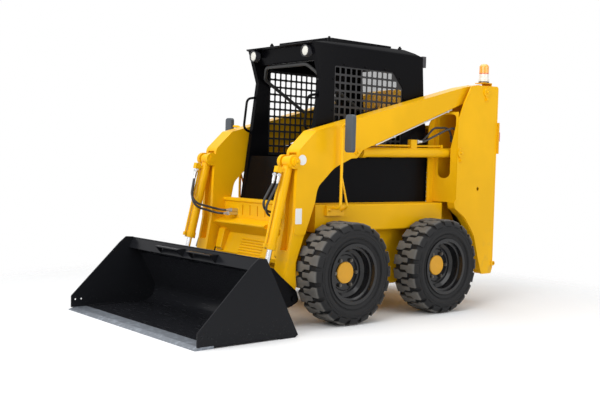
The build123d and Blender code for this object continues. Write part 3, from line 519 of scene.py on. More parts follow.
def tyre_rubber(board, colour):
    """Tread rubber: worn pale lug tops over dark grooves, round a clean, darker sidewall."""
    inputs = {"Vector": board.place(), "Scale": 9.0, "Detail": 6.0}
    spread = board.node("ShaderNodeTexNoise", {}, inputs)
    worn = from_axle(board).above(0.369, 0.011)
    tread = 1 - board.axis("X").size().above(0.79, 0.03)
    dust = (0.4 + spread * 0.8) * (worn * (0.35 + tread * 0.65))
    body = board.mix(dust, scaled(colour, 0.45), (0.165, 0.158, 0.146))
    board.principled(
        base_color=body,
        roughness=0.42 + board.noise(40.0, 4.0) * 0.12 + worn * 0.25,
        specular_ior_level=0.12,
        normal=board.bump(board.noise(240.0, 4.0), 0.12, 0.002),
    )


def hub_enamel(board, colour):
    """Body coloured hub cap inside a ring of dull steel nuts, parted by their distance out."""
    nuts = from_axle(board).above(0.0875, 0.001)
    drift = board.noise(30.0, 4.0)
    steel = board.mix(drift, (0.1, 0.095, 0.09), (0.2, 0.18, 0.15))
    board.principled(
        base_color=board.mix(nuts, board.mix(drift * 0.25, colour, (0.5, 0.27, 0.03)), steel),
        metallic=nuts * 0.7,
        roughness=0.3 + nuts * 0.1 + board.noise(60.0, 3.0) * 0.1,
        specular_ior_level=0.2,
        normal=board.bump(board.noise(150.0, 2.0), 0.05, 0.001),
    )


def rim_enamel(board, colour):
    """Glossy black rim enamel with faint patches of dust."""
    dust = board.noise(7.0, 5.0).above(0.5, 0.3)
    board.principled(
        base_color=board.mix(dust * 0.4, scaled(colour, 0.5), (0.015, 0.0145, 0.014)),
        roughness=0.14 + board.noise(12.0, 4.0) * 0.12,
        specular_ior_level=0.3,
        coat_weight=0.2,
        coat_roughness=0.05,
        normal=board.bump(board.noise(90.0, 2.0), 0.04, 0.001),
    )


def polished_rod(board, colour):
    """Hard chrome with faint wear."""
    board.principled(
        base_color=board.mix(board.noise(18.0, 4.0), colour, (0.6, 0.61, 0.63)),
        metallic=1.0,
        roughness=0.1 + board.noise(60.0, 4.0) * 0.08,
    )


def worn_steel(board, colour):
    """Bare edge steel with scuffs."""
    scuff = board.noise(26.0, 6.0).above(0.48, 0.2)
    board.principled(
        base_color=board.mix(scuff, colour, scaled(colour, 1.6)),
        metallic=0.7,
        roughness=0.36 + board.noise(50.0, 5.0) * 0.2,
        normal=board.bump(board.noise(120.0, 4.0), 0.1, 0.001),
    )


def lamp_lens(board):
    """Fluted pale lens."""
    flutes = board.waves("X", 55.0)
    board.principled(
        base_color=board.mix(flutes * 0.4, (0.78, 0.76, 0.68), (0.5, 0.49, 0.45)),
        roughness=0.12 + board.noise(30.0, 2.0) * 0.05,
        coat_weight=0.6,
        coat_roughness=0.05,
        normal=board.bump(flutes, 0.25, 0.002),
    )


def beacon_plastic(board, colour):
    """Amber dome over a red band, a pale lower lens and a dark foot, parted by height."""
    height = board.axis("Z")
    ribs = board.waves("Z", 42.0)
    foot = board.mix(height.above(1.968, 0.002), (0.02, 0.02, 0.02), (0.85, 0.82, 0.76))
    band = board.mix(height.above(2.033, 0.002), foot, (0.75, 0.16, 0.03))
    body = board.mix(height.above(2.043, 0.002), band, colour)
    board.principled(
        base_color=body,
        roughness=0.12 + board.noise(30.0, 2.0) * 0.06,
        coat_weight=0.6,
        coat_roughness=0.05,
        normal=board.bump(ribs, 0.2, 0.002),
    )


def tail_lamp_plastic(board, colour):
    """Red lens that stands off a body coloured bracket."""
    lens = board.axis("Y").above(1.6236, 0.0006)
    ribs = board.waves("Z", 60.0)
    red = board.mix(ribs * 0.3, colour, (0.35, 0.01, 0.01))
    board.principled(
        base_color=board.mix(lens, (0.75, 0.4, 0.01), red),
        roughness=0.2 + board.noise(40.0, 3.0) * 0.08,
        coat_weight=0.4,
        coat_roughness=0.06,
        normal=board.bump(ribs, 0.15, 0.002),
    )


def mirror_plastic(board, colour):
    """Dark moulded mirror head on a yellow rod and bracket, parted by their distance out."""
    head = board.axis("X").size().above(0.7365, 0.0005)
    dark = board.mix(board.noise(40.0, 3.0), colour, (0.075, 0.085, 0.1))
    yellow = tuple(bpy.context.scene.loader_colours.yellow)
    board.principled(
        base_color=board.mix(head, yellow, dark),
        roughness=0.3 + head * 0.15 + board.noise(30.0, 3.0) * 0.08,
        specular_ior_level=0.3,
        normal=board.bump(board.noise(320.0, 3.0) * head, 0.1, 0.001),
    )


def hose_and_pipe(board, colour, steel):
    """Wrapped rubber hose between plated ends; steel gives the share of metal over the place."""
    metal = steel(board)
    weave = board.waves("DIAGONAL", 160.0)
    rubber = board.mix(board.noise(30.0, 4.0), colour, (0.045, 0.044, 0.043))
    board.principled(
        base_color=board.mix(metal, rubber, (0.6, 0.61, 0.62)),
        metallic=metal * 0.9,
        roughness=0.5 - metal * 0.2 + board.noise(50.0, 3.0) * 0.1,
        normal=board.bump(weave * (1 - metal), 0.2, 0.001),
    )


def seat_vinyl(board, colour):
    """Grained seat vinyl with soft creases."""
    inputs = {"Vector": board.place(), "Scale": 260.0}
    grain = board.node("ShaderNodeTexVoronoi", {}, inputs, out="Distance")
    board.principled(
        base_color=board.mix(board.noise(10.0, 5.0), colour, (0.05, 0.049, 0.048)),
        roughness=0.45 + board.noise(22.0, 4.0) * 0.15,
        specular_ior_level=0.35,
        normal=board.bump(grain, 0.2, 0.001),
    )


def plain_plate(board):
    """Blank white film."""
    board.principled(
        base_color=board.mix(board.noise(20.0, 3.0), (0.82, 0.82, 0.8), (0.74, 0.74, 0.72)),
        roughness=0.35 + board.noise(60.0, 3.0) * 0.1,
    )


def silvered_glass(board):
    """Mirror glass with a breath of dust."""
    board.principled(
        base_color=board.mix(board.noise(12.0, 5.0), (0.75, 0.77, 0.78), (0.66, 0.68, 0.69)),
        metallic=1.0,
        roughness=0.03 + board.noise(25.0, 5.0) * 0.05,
    )


def pane_glass(board):
    """Thin tinted pane."""
    smear = board.noise(8.0, 5.0)
    board.principled(
        base_color=board.mix(smear, (0.05, 0.07, 0.07), (0.09, 0.11, 0.11)),
        roughness=0.04 + smear * 0.06,
        alpha=0.3 + smear * 0.1,
    )


def steel_on_arms(board):
    """Metal on the boom pipes, at the cross member's elbows and under the port blocks."""
    out = board.axis("X").size()
    pipes = out.above(0.572, 0.002)
    elbows = 1 - out.above(0.36, 0.002)
    return pipes.highest(elbows).highest(board.axis("Z").above(1.052, 0.003))


def steel_at_ports(board):
    """Metal on the first stretch of the lift cylinders' hoses."""
    return 1 - board.axis("Y").above(0.76, 0.003)


# What paints the board of each record slot, from its colour, and of each added finish
SLOT_MAKERS = {
    "yellow_paint": gloss_paint,
    "cylinder_paint": gloss_paint,
    "hub_paint": hub_enamel,
    "black_paint": cab_enamel,
    "bucket_black": bucket_black,
    "edge_steel": worn_steel,
    "tyre_rubber": tyre_rubber,
    "rim_paint": rim_enamel,
    "rod_chrome": polished_rod,
    "engine_iron": lambda board, colour: satin_paint(board, colour, 0.6, 90.0, 0.2),
    "seat_vinyl": seat_vinyl,
    "black_plastic": lambda board, colour: satin_paint(board, colour, 0.5, 300.0, 0.15),
    "lamp_housing": lambda board, colour: satin_paint(board, colour, 0.35),
    "beacon_amber": beacon_plastic,
    "tail_red": tail_lamp_plastic,
    "hose_rubber": lambda board, colour: hose_and_pipe(board, colour, steel_on_arms),
    "mirror_shell": mirror_plastic,
    "mesh_black": lambda board, colour: satin_paint(board, colour, 0.4),
}
EXTRA_MAKERS = {
    "lamp_lens": lamp_lens,
    "plain_plate": plain_plate,
    "silvered_glass": silvered_glass,
    "pane_glass": pane_glass,
    "port_hose": lambda board: hose_and_pipe(board, (0.02, 0.02, 0.021), steel_at_ports),
}
FINISHES = {}


def finish(slot):
    """The finish of a record slot or of one of the added finishes, made once."""
    if slot in FINISHES:
        return FINISHES[slot]
    board = Board(slot)
    if slot in SLOT_MAKERS:
        colours = bpy.context.scene.loader_colours
        own = {
            "yellow_paint": colours.yellow,
            "cylinder_paint": colours.yellow,
            "black_paint": colours.black,
        }
        listed = {row["slot"]: row["base_color"] for row in frame["record"]["materials"]}
        SLOT_MAKERS[slot](board, tuple(own.get(slot, listed[slot])))
    else:
        EXTRA_MAKERS[slot](board)
    FINISHES[slot] = board.material
    return board.material


# Mesh pieces

def spot(x, y, z):
    """Place in metres from one in millimetres measured from the front axle."""
    return Vector((x / 1000, y / 1000 + SHIFT_Y, z / 1000))


def put(name, data):
    """New object of a mesh, light or camera, in the scene."""
    made = bpy.data.objects.new(name, data)
    bpy.context.scene.collection.objects.link(made)
    return made


def evaluated(holder):
    """Mesh of an object after its modifiers."""
    graph = bpy.context.evaluated_depsgraph_get()
    return bpy.data.meshes.new_from_object(holder.evaluated_get(graph))


def settle(name, mesh, body, slot, paint=None):
    """Makes a finished, smooth piece of a mesh and lets it ride on a body."""
    piece = put(name, mesh)
    mesh.materials.clear()
    mesh.materials.append(finish(paint or slot))
    for face in mesh.polygons:
        face.use_smooth = True
    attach(piece, body)
    return piece


def lathe(sketch, profile, middle, direction, segments=40):
    """Adds a body of revolution to a bmesh; profile rows are (radius, height) in millimetres."""
    turn = Vector(direction).to_track_quat("Z", "Y").to_matrix()
    rings = []
    for radius, height in profile:
        if radius == 0:
            rings.append([sketch.verts.new(middle + turn @ Vector((0, 0, height / 1000)))])
            continue
        ring = []
        for index in range(segments):
            angle = 2 * pi * index / segments
            point = Vector((radius * cos(angle), radius * sin(angle), height)) / 1000
            ring.append(sketch.verts.new(middle + turn @ point))
        rings.append(ring)
    for low, high in zip(rings, rings[1:]):
        for index in range(segments):
            after = (index + 1) % segments
            if len(low) == 1:
                sketch.faces.new((low[0], high[after], high[index]))
            elif len(high) == 1:
                sketch.faces.new((low[index], low[after], high[0]))
            else:
                sketch.faces.new((low[index], low[after], high[after], high[index]))


def mesh_of(sketch, name):
    """Mesh of a bmesh, which is freed."""
    mesh = bpy.data.meshes.new(name)
    sketch.to_mesh(mesh)
    sketch.free()
    return mesh


def finished(sketch, name):
    """Mesh of a bmesh, with its faces turned outwards."""
    bmesh.ops.recalc_face_normals(sketch, faces=sketch.faces)
    return mesh_of(sketch, name)


class Grower(Nodes):
    """A geometry node tree with named inputs."""

    def __init__(self, name, **defaults):
        super().__init__(bpy.data.node_groups.new(name, "GeometryNodeTree"))
        face = self.tree.interface
        face.new_socket("Geometry", in_out="INPUT", socket_type="NodeSocketGeometry")
        face.new_socket("Geometry", in_out="OUTPUT", socket_type="NodeSocketGeometry")
        for word, value in defaults.items():
            label = word.replace("_", " ").capitalize()
            kind = "NodeSocketInt" if isinstance(value, int) else "NodeSocketFloat"
            face.new_socket(label, in_out="INPUT", socket_type=kind).default_value = value
        face.new_socket("Material", in_out="INPUT", socket_type="NodeSocketMaterial")
        self.enter = self.tree.nodes.new("NodeGroupInput")

    def given(self, label):
        return Wire(self, self.enter.outputs[label])

    def circle(self, sides, radius):
        inputs = {"Resolution": sides, "Radius": radius}
        return self.node("GeometryNodeCurvePrimitiveCircle", {}, inputs)

    def raised(self, shape, height):
        """A shape moved up by a height."""
        rise = self.node("ShaderNodeCombineXYZ", {}, {"Z": height})
        inputs = {"Geometry": shape, "Translation": rise}
        return self.node("GeometryNodeTransform", {}, inputs)

    def read(self, kind, name):
        """A named attribute of the points."""
        return self.node("GeometryNodeInputNamedAttribute", {"data_type": kind}, {"Name": name})

    def joined(self, *shapes):
        made = self.tree.nodes.new("GeometryNodeJoinGeometry")
        for shape in shapes:
            self.tree.links.new(shape.socket, made.inputs[0])
        return Wire(self, made.outputs[0])

    def close(self, shape):
        """Ends the tree: realize instances, set the material, hand out the result."""
        real = self.node("GeometryNodeRealizeInstances", inputs={"Geometry": shape})
        inputs = {"Geometry": real, "Material": self.given("Material")}
        painted = self.node("GeometryNodeSetMaterial", inputs=inputs)
        leave = self.tree.nodes.new("NodeGroupOutput")
        self.tree.links.new(painted.socket, leave.inputs[0])
        return self.tree


def grow(name, tree, mesh, body, slot, **values):
    """Runs a tree on a mesh and settles the result as a plain mesh."""
    holder = put(name + "_points", mesh)
    modifier = holder.modifiers.new("grow", "NODES")
    modifier.node_group = tree
    sockets = {
        item.name: item.identifier
        for item in tree.interface.items_tree
        if item.item_type == "SOCKET" and item.in_out == "INPUT"
    }
    for word, value in values.items():
        modifier[sockets[word.replace("_", " ").capitalize()]] = value
    modifier[sockets["Material"]] = finish(slot)
    made = evaluated(holder)
    bpy.data.objects.remove(holder)
    if not made.polygons:
        raise RuntimeError(name + " came out empty")
    return settle(name, made, body, slot)


def marked_points(name, rows):
    """Mesh of loose points with an axis and a size each; rows are (place, axis, size)."""
    mesh = bpy.data.meshes.new(name)
    mesh.from_pydata([row[0] for row in rows], [], [])
    mesh.attributes.new("axis", "FLOAT_VECTOR", "POINT")
    mesh.attributes.new("size", "FLOAT", "POINT")
    for index, row in enumerate(rows):
        mesh.attributes["axis"].data[index].vector = row[1]
        mesh.attributes["size"].data[index].value = row[2]
    return mesh


def placed(grower, shape):
    """Instances of a shape on the points, turned to each point's axis."""
    inputs = {"Vector": grower.read("FLOAT_VECTOR", "axis")}
    turn = grower.node("FunctionNodeAlignRotationToVector", {"axis": "Z"}, inputs)
    inputs = {
        "Points": grower.given("Geometry"),
        "Instance": shape,
        "Rotation": turn,
        "Scale": grower.read("FLOAT", "size"),
    }
    return grower.node("GeometryNodeInstanceOnPoints", inputs=inputs)


def bolt_tree():
    """Hexagon head with a chamfered top, on a washer."""
    sizes = {"Head_radius": 0.01, "Head_height": 0.007}
    grower = Grower("bolt", **sizes, Washer_radius=0.013, Washer_height=0.002)
    across, tall = grower.given("Head radius"), grower.given("Head height")
    wide, thin = grower.given("Washer radius"), grower.given("Washer height")
    inputs = {"Vertices": 6, "Radius": across, "Depth": tall}
    head = grower.node("GeometryNodeMeshCylinder", {}, inputs)
    head = grower.raised(head, tall * 0.5 + thin)
    inputs = {"Vertices": 18, "Depth": thin}
    inputs.update({"Radius Top": across * 0.7, "Radius Bottom": across * 0.86})
    crown = grower.node("GeometryNodeMeshCone", {}, inputs)
    crown = grower.raised(crown, tall + thin)
    inputs = {"Vertices": 20, "Radius": wide, "Depth": thin}
    washer = grower.node("GeometryNodeMeshCylinder", {}, inputs)
    washer = grower.raised(washer, thin * 0.5)
    return grower.close(placed(grower, grower.joined(head, crown, washer)))


def rib_tree():
    """Round rib on a ring about each point's axis; the point's size is the ring's radius."""
    grower = Grower("rib", Rib_radius=0.003, Steps=96)
    rings = placed(grower, grower.circle(grower.given("Steps"), 1.0))
    real = grower.node("GeometryNodeRealizeInstances", inputs={"Geometry": rings})
    inputs = {"Curve": real, "Profile Curve": grower.circle(8, grower.given("Rib radius"))}
    return grower.close(grower.node("GeometryNodeCurveToMesh", {}, inputs))


def weld_tree():
    """Bead with ripples along each edge of the mesh."""
    grower = Grower("weld", Bead_radius=0.004, Ripple=0.006)
    line = grower.node("GeometryNodeMeshToCurve", {}, {"Mesh": grower.given("Geometry")})
    inputs = {"Curve": line, "Length": grower.given("Ripple")}
    even = grower.node("GeometryNodeResampleCurve", {"mode": "LENGTH"}, inputs)
    phase = grower.node("GeometryNodeInputIndex") * 2.1
    inputs = {
        "Curve": even,
        "Profile Curve": grower.circle(7, grower.given("Bead radius")),
        "Scale": phase.sine() * 0.22 + 1.0,
        "Fill Caps": True,
    }
    return grower.close(grower.node("GeometryNodeCurveToMesh", {}, inputs))


# Forms in millimetres, drawn with Y = 0 at the front axle

class Form:
    """A closed mesh that takes part in Python sums: + joins, - cuts, & keeps the overlap."""

    def __init__(self, mesh=None):
        self.mesh = mesh

    def _with(self, other, operation):
        if self.mesh is None:
            return other
        if other.mesh is None:
            return self
        holders = [put("form", mesh) for mesh in (self.mesh, other.mesh)]
        modifier = holders[0].modifiers.new("sum", "BOOLEAN")
        modifier.operation = operation
        modifier.object = holders[1]
        modifier.solver = "MANIFOLD"
        made = evaluated(holders[0])
        for holder in holders:
            bpy.data.objects.remove(holder)
        if not made.polygons:
            raise RuntimeError("a sum of two forms came out empty")
        return Form(made)

    def __add__(self, other):
        return self._with(other, "UNION")

    def __sub__(self, other):
        return self._with(other, "DIFFERENCE")

    def __and__(self, other):
        return self._with(other, "INTERSECT")

    def moved(self, matrix):
        mesh = self.mesh.copy()
        mesh.transform(matrix)
        if matrix.determinant() < 0:
            mesh.flip_normals()
        return Form(mesh)

    def along_by(self, x, y, z):
        return self.moved(Matrix.Translation((x, y, z)))

    def turned_x(self, angle):
        """Turned about the X axis by an angle in degrees."""
        return self.moved(Matrix.Rotation(radians(angle), 4, "X"))


def form_of(points, faces):
    """Closed form of points and faces, its faces turned outwards."""
    sketch = bmesh.new()
    verts = [sketch.verts.new(point) for point in points]
    for face in faces:
        sketch.faces.new([verts[index] for index in face])
    return Form(finished(sketch, "form"))


def heap(forms):
    """Several forms as one mesh, each still a closed shell."""
    sketch = bmesh.new()
    for form in forms:
        sketch.from_mesh(form.mesh)
    return Form(mesh_of(sketch, "heap"))


def corner_arc(before, at, after, radius):
    """Points of the arc that rounds a corner, as large as its runs allow."""
    back, ahead = (before - at), (after - at)
    room = 0.45 * min(back.length, ahead.length)
    back, ahead = back.normalized(), ahead.normalized()
    half_angle = back.angle(ahead) / 2
    if half_angle > 1.56:
        return [at]
    reach = min(radius / tan(half_angle), room)
    radius = reach * tan(half_angle)
    middle = at + (back + ahead).normalized() * (radius / sin(half_angle))
    start, end = at + back * reach - middle, at + ahead * reach - middle
    sweep = start.angle(end)
    steps = max(2, ceil(degrees(sweep) / 11))
    points = []
    for index in range(steps + 1):
        share = index / steps
        mixed = start * sin((1 - share) * sweep) + end * sin(share * sweep)
        points.append(middle + mixed / sin(sweep))
    return points


def outline(rows):
    """Points of a closed outline from rows of (across, up) and, where round, the radius."""
    corners = [Vector((row[0], row[1], 0)) for row in rows]
    points = []
    for index, row in enumerate(rows):
        after = corners[(index + 1) % len(corners)]
        if len(row) > 2:
            points += corner_arc(corners[index - 1], corners[index], after, row[2])
        else:
            points.append(corners[index])
    return [(point.x, point.y) for point in points]


def prism(plane, rows, low, high):
    """Form between two planes, with an outline in the plane YZ, XY or XZ."""
    points = outline(rows)
    count = len(points)
    order = {"YZ": (2, 0, 1), "XY": (0, 1, 2), "XZ": (0, 2, 1)}[plane]
    places = []
    for level in (low, high):
        for point in points:
            row = (*point, level)
            places.append([row[index] for index in order])
    faces = [list(range(count)), list(range(count, 2 * count))]
    for index in range(count):
        after = (index + 1) % count
        faces.append((index, after, count + after, count + index))
    return form_of(places, faces)


def slab(rows, x_low, x_high):
    """Form between two planes across X, with an outline given as rows."""
    return prism("YZ", rows, x_low, x_high)


def rectangle(across, up, *radius):
    """Rows of a rectangle from two (low, high) pairs and, where round, its corners' radius."""
    corners = [(across[x], up[y]) for x, y in ((0, 0), (1, 0), (1, 1), (0, 1))]
    return [(*corner, *radius) for corner in corners]


def block(x, y, z):
    """Box from three (low, high) pairs."""
    return slab(rectangle(y, z), *x)


def rings_form(rings):
    """Closed form through rings of equally many points; a ring of one point closes an end."""
    points, faces, starts = [], [], []
    for ring in rings:
        starts.append(len(points))
        points += ring
    for low, high, first, second in zip(rings, rings[1:], starts, starts[1:]):
        for index in range(max(len(low), len(high))):
            after = (index + 1) % max(len(low), len(high))
            if len(low) == 1:
                faces.append((first, second + after, second + index))
            elif len(high) == 1:
                faces.append((first + index, first + after, second))
            else:
                faces.append((first + index, first + after, second + after, second + index))
    for ring, start in ((rings[0], starts[0]), (rings[-1], starts[-1])):
        if len(ring) > 1:
            faces.append(range(start, start + len(ring)))
    return form_of(points, faces)


def bar(start, end, radius, tip=None, sides=28):
    """Round bar between two points, or a cone where the tip's radius is given."""
    start, end = Vector(start), Vector(end)
    turn = (end - start).to_track_quat("Z", "Y").to_matrix()
    rings = []
    for place, size in ((start, radius), (end, radius if tip is None else tip)):
        angles = [2 * pi * index / sides for index in range(sides)]
        rings.append([place + turn @ Vector((size * cos(a), size * sin(a), 0)) for a in angles])
    return rings_form(rings)


def bar_x(place, radius, x_low, x_high):
    """Round bar along X about a place (y, z)."""
    return bar((x_low, *place), (x_high, *place), radius)


def post_z(place, radius, z_low, z_high):
    """Round bar along Z about a place (x, y)."""
    return bar((*place, z_low), (*place, z_high), radius)


def tube(points, bend, radius, sides=14):
    """Round tube along straight runs joined by arcs."""
    places = [Vector(point) for point in points]
    route = [places[0]]
    for before, at, after in zip(places, places[1:], places[2:]):
        route += corner_arc(before, at, after, bend)
    route.append(places[-1])
    side = (route[1] - route[0]).orthogonal().normalized()
    rings = []
    for index, place in enumerate(route):
        ahead = route[min(index + 1, len(route) - 1)] - route[max(index - 1, 0)]
        ahead.normalize()
        side = (side - ahead * side.dot(ahead)).normalized()
        across = ahead.cross(side)
        ring = []
        for step in range(sides):
            angle = 2 * pi * step / sides
            ring.append(place + side * (radius * cos(angle)) + across * (radius * sin(angle)))
        rings.append(ring)
    return rings_form(rings)


def revolved(rows, sides=96):
    """Closed ring about the X axis from rows of (x, radius, corner radius)."""
    section = outline(rows)
    points, faces = [], []
    count = len(section)
    for index in range(sides):
        angle = 2 * pi * index / sides
        points += [(x, radius * sin(angle), radius * cos(angle)) for x, radius in section]
        here, there = index * count, (index + 1) % sides * count
        for step in range(count):
            after = (step + 1) % count
            faces.append((here + step, here + after, there + after, there + step))
    return form_of(points, faces)


def on_side(form, side):
    """A form drawn on the left, or its mirror image on the right."""
    return form if side > 0 else form.moved(Matrix.Scale(-1, 4, (1, 0, 0)))


def line_between(start, end):
    """Length and unit direction between two places (y, z)."""
    length = hypot(end[0] - start[0], end[1] - start[1])
    return length, ((end[0] - start[0]) / length, (end[1] - start[1]) / length)


def along(start, direction, distance, offset=0.0):
    """Place at a distance along a direction, and offset to its left."""
    y = start[0] + direction[0] * distance - direction[1] * offset
    z = start[1] + direction[1] * distance + direction[0] * offset
    return (y, z)


# Wheels

def tread_lug():
    """One lug at the top of the tyre: a wide shoulder block stepped down to a narrow tip."""
    half = TYRE_WIDTH / 2
    plan = (
        (half - 1, -LUG_SHOULDER, 4),
        (half - 1, LUG_SHOULDER, 4),
        (0.47 * half, LUG_SHOULDER - 2, 4),
        (0.30 * half, LUG_SHOULDER / 2, 4),
        (-0.26 * half, LUG_SHOULDER / 2 + 2, 4),
        (-0.26 * half, LUG_SHOULDER / 2 - 2 * LUG_TIP, 4),
        (0.15 * half, LUG_SHOULDER / 2 - 2 * LUG_TIP, 4),
        (0.34 * half, -LUG_SHOULDER + 2, 4),
    )
    low = TYRE_RADIUS - 3 * LUG_DEPTH
    top = 2 * TYRE_RADIUS - hypot(TYRE_RADIUS, LUG_SHOULDER)
    shoulder = (
        (half - 26, top + 1),
        (half + 3, top + 1),
        (half + 3, top - 2.2 * LUG_DEPTH),
        (half - 4, top - 1.6 * LUG_DEPTH),
    )
    lug = prism("XY", plan, low, top) - prism("XZ", shoulder, -2 * LUG_SHOULDER, 2 * LUG_SHOULDER)
    sketch = bmesh.new()
    sketch.from_mesh(lug.mesh)
    bmesh.ops.dissolve_limit(sketch, angle_limit=0.02, verts=sketch.verts, edges=sketch.edges)
    rims = [edge for edge in sketch.edges if min(vert.co.z for vert in edge.verts) > top - 2]
    bmesh.ops.bevel(sketch, geom=rims, offset=2.5, segments=2, profile=0.5, affect="EDGES")
    bmesh.ops.triangulate(sketch, faces=[face for face in sketch.faces if len(face.verts) > 4])
    return Form(mesh_of(sketch, "lug"))


def tyre():
    """Tyre about the origin: carcass and two staggered rows of lugs."""
    half = TYRE_WIDTH / 2
    groove = TYRE_RADIUS - LUG_DEPTH
    flank = half - 1
    rows = [
        (-half + 22, BEAD_RADIUS + FIT),
        (-half + 22, RIM_FLANGE_RADIUS + 2),
        (-flank, RIM_FLANGE_RADIUS + 46, 70),
        (-flank, groove - 34),
        (-half + 9, groove - 22),
        (-half + 40, groove),
        (half - 40, groove),
        (half - 9, groove - 22),
        (flank, groove - 34),
        (flank, RIM_FLANGE_RADIUS + 46, 70),
        (half - 22, RIM_FLANGE_RADIUS + 2),
        (half - 22, BEAD_RADIUS + FIT),
    ]
    whole = revolved(rows)
    lug = tread_lug()
    other = on_side(lug, -1)
    pitch = 360 / LUG_COUNT
    forms = [whole]
    for index in range(LUG_COUNT):
        forms.append(lug.turned_x(index * pitch))
        forms.append(other.turned_x((index + 0.5) * pitch))
    return heap(forms)


# Windows

def window_mesh(side):
    """Guard sheet behind the side window, punched with rows of square holes."""
    high = CAB_X - CAB_SKIN - FIT
    curve = bpy.data.curves.new("sheet", "CURVE")
    curve.dimensions = "2D"
    curve.fill_mode = "BOTH"
    curve.extrude = MESH_THICKNESS / 2
    shapes = [outline(window_rows(2 * MESH_MARGIN))]
    for row in range(MESH_ROWS):
        short = max(0, row - MESH_ROWS + 3)
        for column in range(MESH_COLUMNS - short):
            y = MESH_FRONT_Y + column * MESH_PITCH[0]
            z = MESH_LOW_Z + row * MESH_PITCH[1]
            hole = rectangle((y, y + MESH_HOLE[0]), (z, z + MESH_HOLE[1]), 7)
            shapes.append(outline(hole))
    for points in shapes:
        spline = curve.splines.new("POLY")
        spline.points.add(len(points) - 1)
        spline.use_cyclic_u = True
        for knot, point in zip(spline.points, points):
            knot.co = (*point, 0, 1)
    holder = bpy.data.objects.new("sheet", curve)
    mesh = bpy.data.meshes.new_from_object(holder)
    bpy.data.objects.remove(holder)
    sketch = bmesh.new()
    sketch.from_mesh(mesh)
    bmesh.ops.remove_doubles(sketch, verts=sketch.verts, dist=0.01)
    sheet = Form(finished(sketch, "sheet"))
    # The curve's plane XY becomes the machine's YZ, its thickness runs along X
    turn = Matrix(((0, 0, 1, high - MESH_THICKNESS / 2), (1, 0, 0, 0), (0, 1, 0, 0), (0, 0, 0, 1)))
    return on_side(sheet.moved(turn), side)


# Body forms

def tower_front(inset=0.0):
    """Rows down a tower's front edge and round its wheel arch, moved in by an inset."""
    arch_y = TOWER_FRONT_Y - 20
    return (
        (TOWER_FRONT_Y + inset, 930, 20),
        (arch_y + inset, 900 - inset / 2, 10),
        (arch_y + 10 + inset, 850 - inset / 2, 20),
        (arch_y + 139, 775 - inset, 160),
        (arch_y + 269, 620 - inset, 200),
        (arch_y + 329 + inset, 430, 120),
        (arch_y + 389 + inset, TOWER_FOOT_Z + inset, 12),
    )


def tower(side):
    """Outer and inner plates, front flange with its slot, arch flange and pins of one tower."""
    top_front = (TOWER_TOP_FRONT_Y, TOWER_TOP_FRONT_Z, 25)
    outer_rows = (
        top_front,
        (TOWER_FRONT_Y + 64, 1745, 200),
        (TOWER_FRONT_Y, 1600, 60),
        *tower_front(),
        (TOWER_REAR_Y - 20, TOWER_FOOT_Z, 12),
        (TOWER_REAR_Y, TOWER_FOOT_Z + 50, 12),
        (TOWER_REAR_Y, TOWER_TOP_REAR_Z - 10, 25),
        (TOWER_TOP_FRONT_Y + 90, TOWER_TOP_FRONT_Z + 16, 60),
    )
    inner_rows = (
        (TOWER_FRONT_Y + 71, 1680, 80),
        (TOWER_FRONT_Y - INNER_PLATE_REACH, 1610, 160),
        (TOWER_FRONT_Y - INNER_PLATE_REACH, DECK_Z + FIT),
        (SILL_REAR_Y + FIT, DECK_Z + FIT),
        (SILL_REAR_Y + 90, SILL_BOTTOM_Z),
        (TUB_REAR_Y - 40, SILL_BOTTOM_Z),
        (TOWER_REAR_Y - 12, SILL_BOTTOM_Z + 40),
        (TOWER_REAR_Y - 12, 1900, 40),
        (TOWER_REAR_Y - 160, 1935, 60),
        (TOWER_REAR_Y - 280, 1900, 60),
    )
    outer_in = TOWER_OUTER_X - TOWER_PLATE
    whole = slab(outer_rows, outer_in, TOWER_OUTER_X)
    whole -= bar_x(PLUG_HOLE, PLUG_RADIUS, outer_in - 1, TOWER_OUTER_X + 1)
    whole += slab(inner_rows, TOWER_INNER_X, TOWER_INNER_X + TOWER_PLATE)
    whole += block((TOWER_INNER_X, outer_in + 1), (TOWER_REAR_Y - 12, TOWER_REAR_Y), (460, 1905))
    foot = (TOWER_REAR_Y - 145, TOWER_REAR_Y - 11)
    whole += block((TUB_HALF_WIDTH, outer_in + 1), foot, (TOWER_FOOT_Z + 12, 472))
    whole += front_flange(outer_in) + arch_flange(outer_in)
    whole += tow_eye()
    boss_radius = EYE_RADIUS - 8
    half = EYE_WIDTH / 2 + FIT
    whole += bar_x(LIFT_BASE_PIN, boss_radius, TOWER_INNER_X, CYLINDER_X - half)
    whole += bar_x(LIFT_BASE_PIN, boss_radius, CYLINDER_X + half, TOWER_OUTER_X)
    pin_hole = HOOD_PIN_RADIUS + PIN_FIT
    whole -= bar_x(HOOD_PIN, pin_hole, TOWER_INNER_X - 1, TOWER_INNER_X + TOWER_PLATE + 1)
    for place in (LIFT_BASE_PIN, ARM_PIVOT):
        whole += bar_x(place, PIN_RADIUS, TOWER_INNER_X, TOWER_OUTER_X + 8)
        whole += keeper(place)
    whole = on_side(whole, side)
    return whole + (beacon_shelf() if side > 0 else door_hinge_lugs())


def keeper(place):
    """Round cap and bolted keeper plate that hold a pin in the tower's outer plate."""
    cap = bar_x(place, KEEPER_RADIUS, TOWER_OUTER_X - 1, TOWER_OUTER_X + 12)
    y, z = place
    plate = block((TOWER_OUTER_X - 1, TOWER_OUTER_X + 8), (y - 16, y + 16), (z - 78, z - 30))
    bolt = bar_x((y, z - 62), 9, TOWER_OUTER_X + 7, TOWER_OUTER_X + 17)
    return cap + plate + bolt


def arch_flange(outer_in):
    """Curved flange that follows the edge of the wheel arch."""
    rows = (*tower_front(FIT), *reversed(tower_front(TOWER_PLATE)))
    return slab(rows, outer_in - ARCH_FLANGE, outer_in + 1)


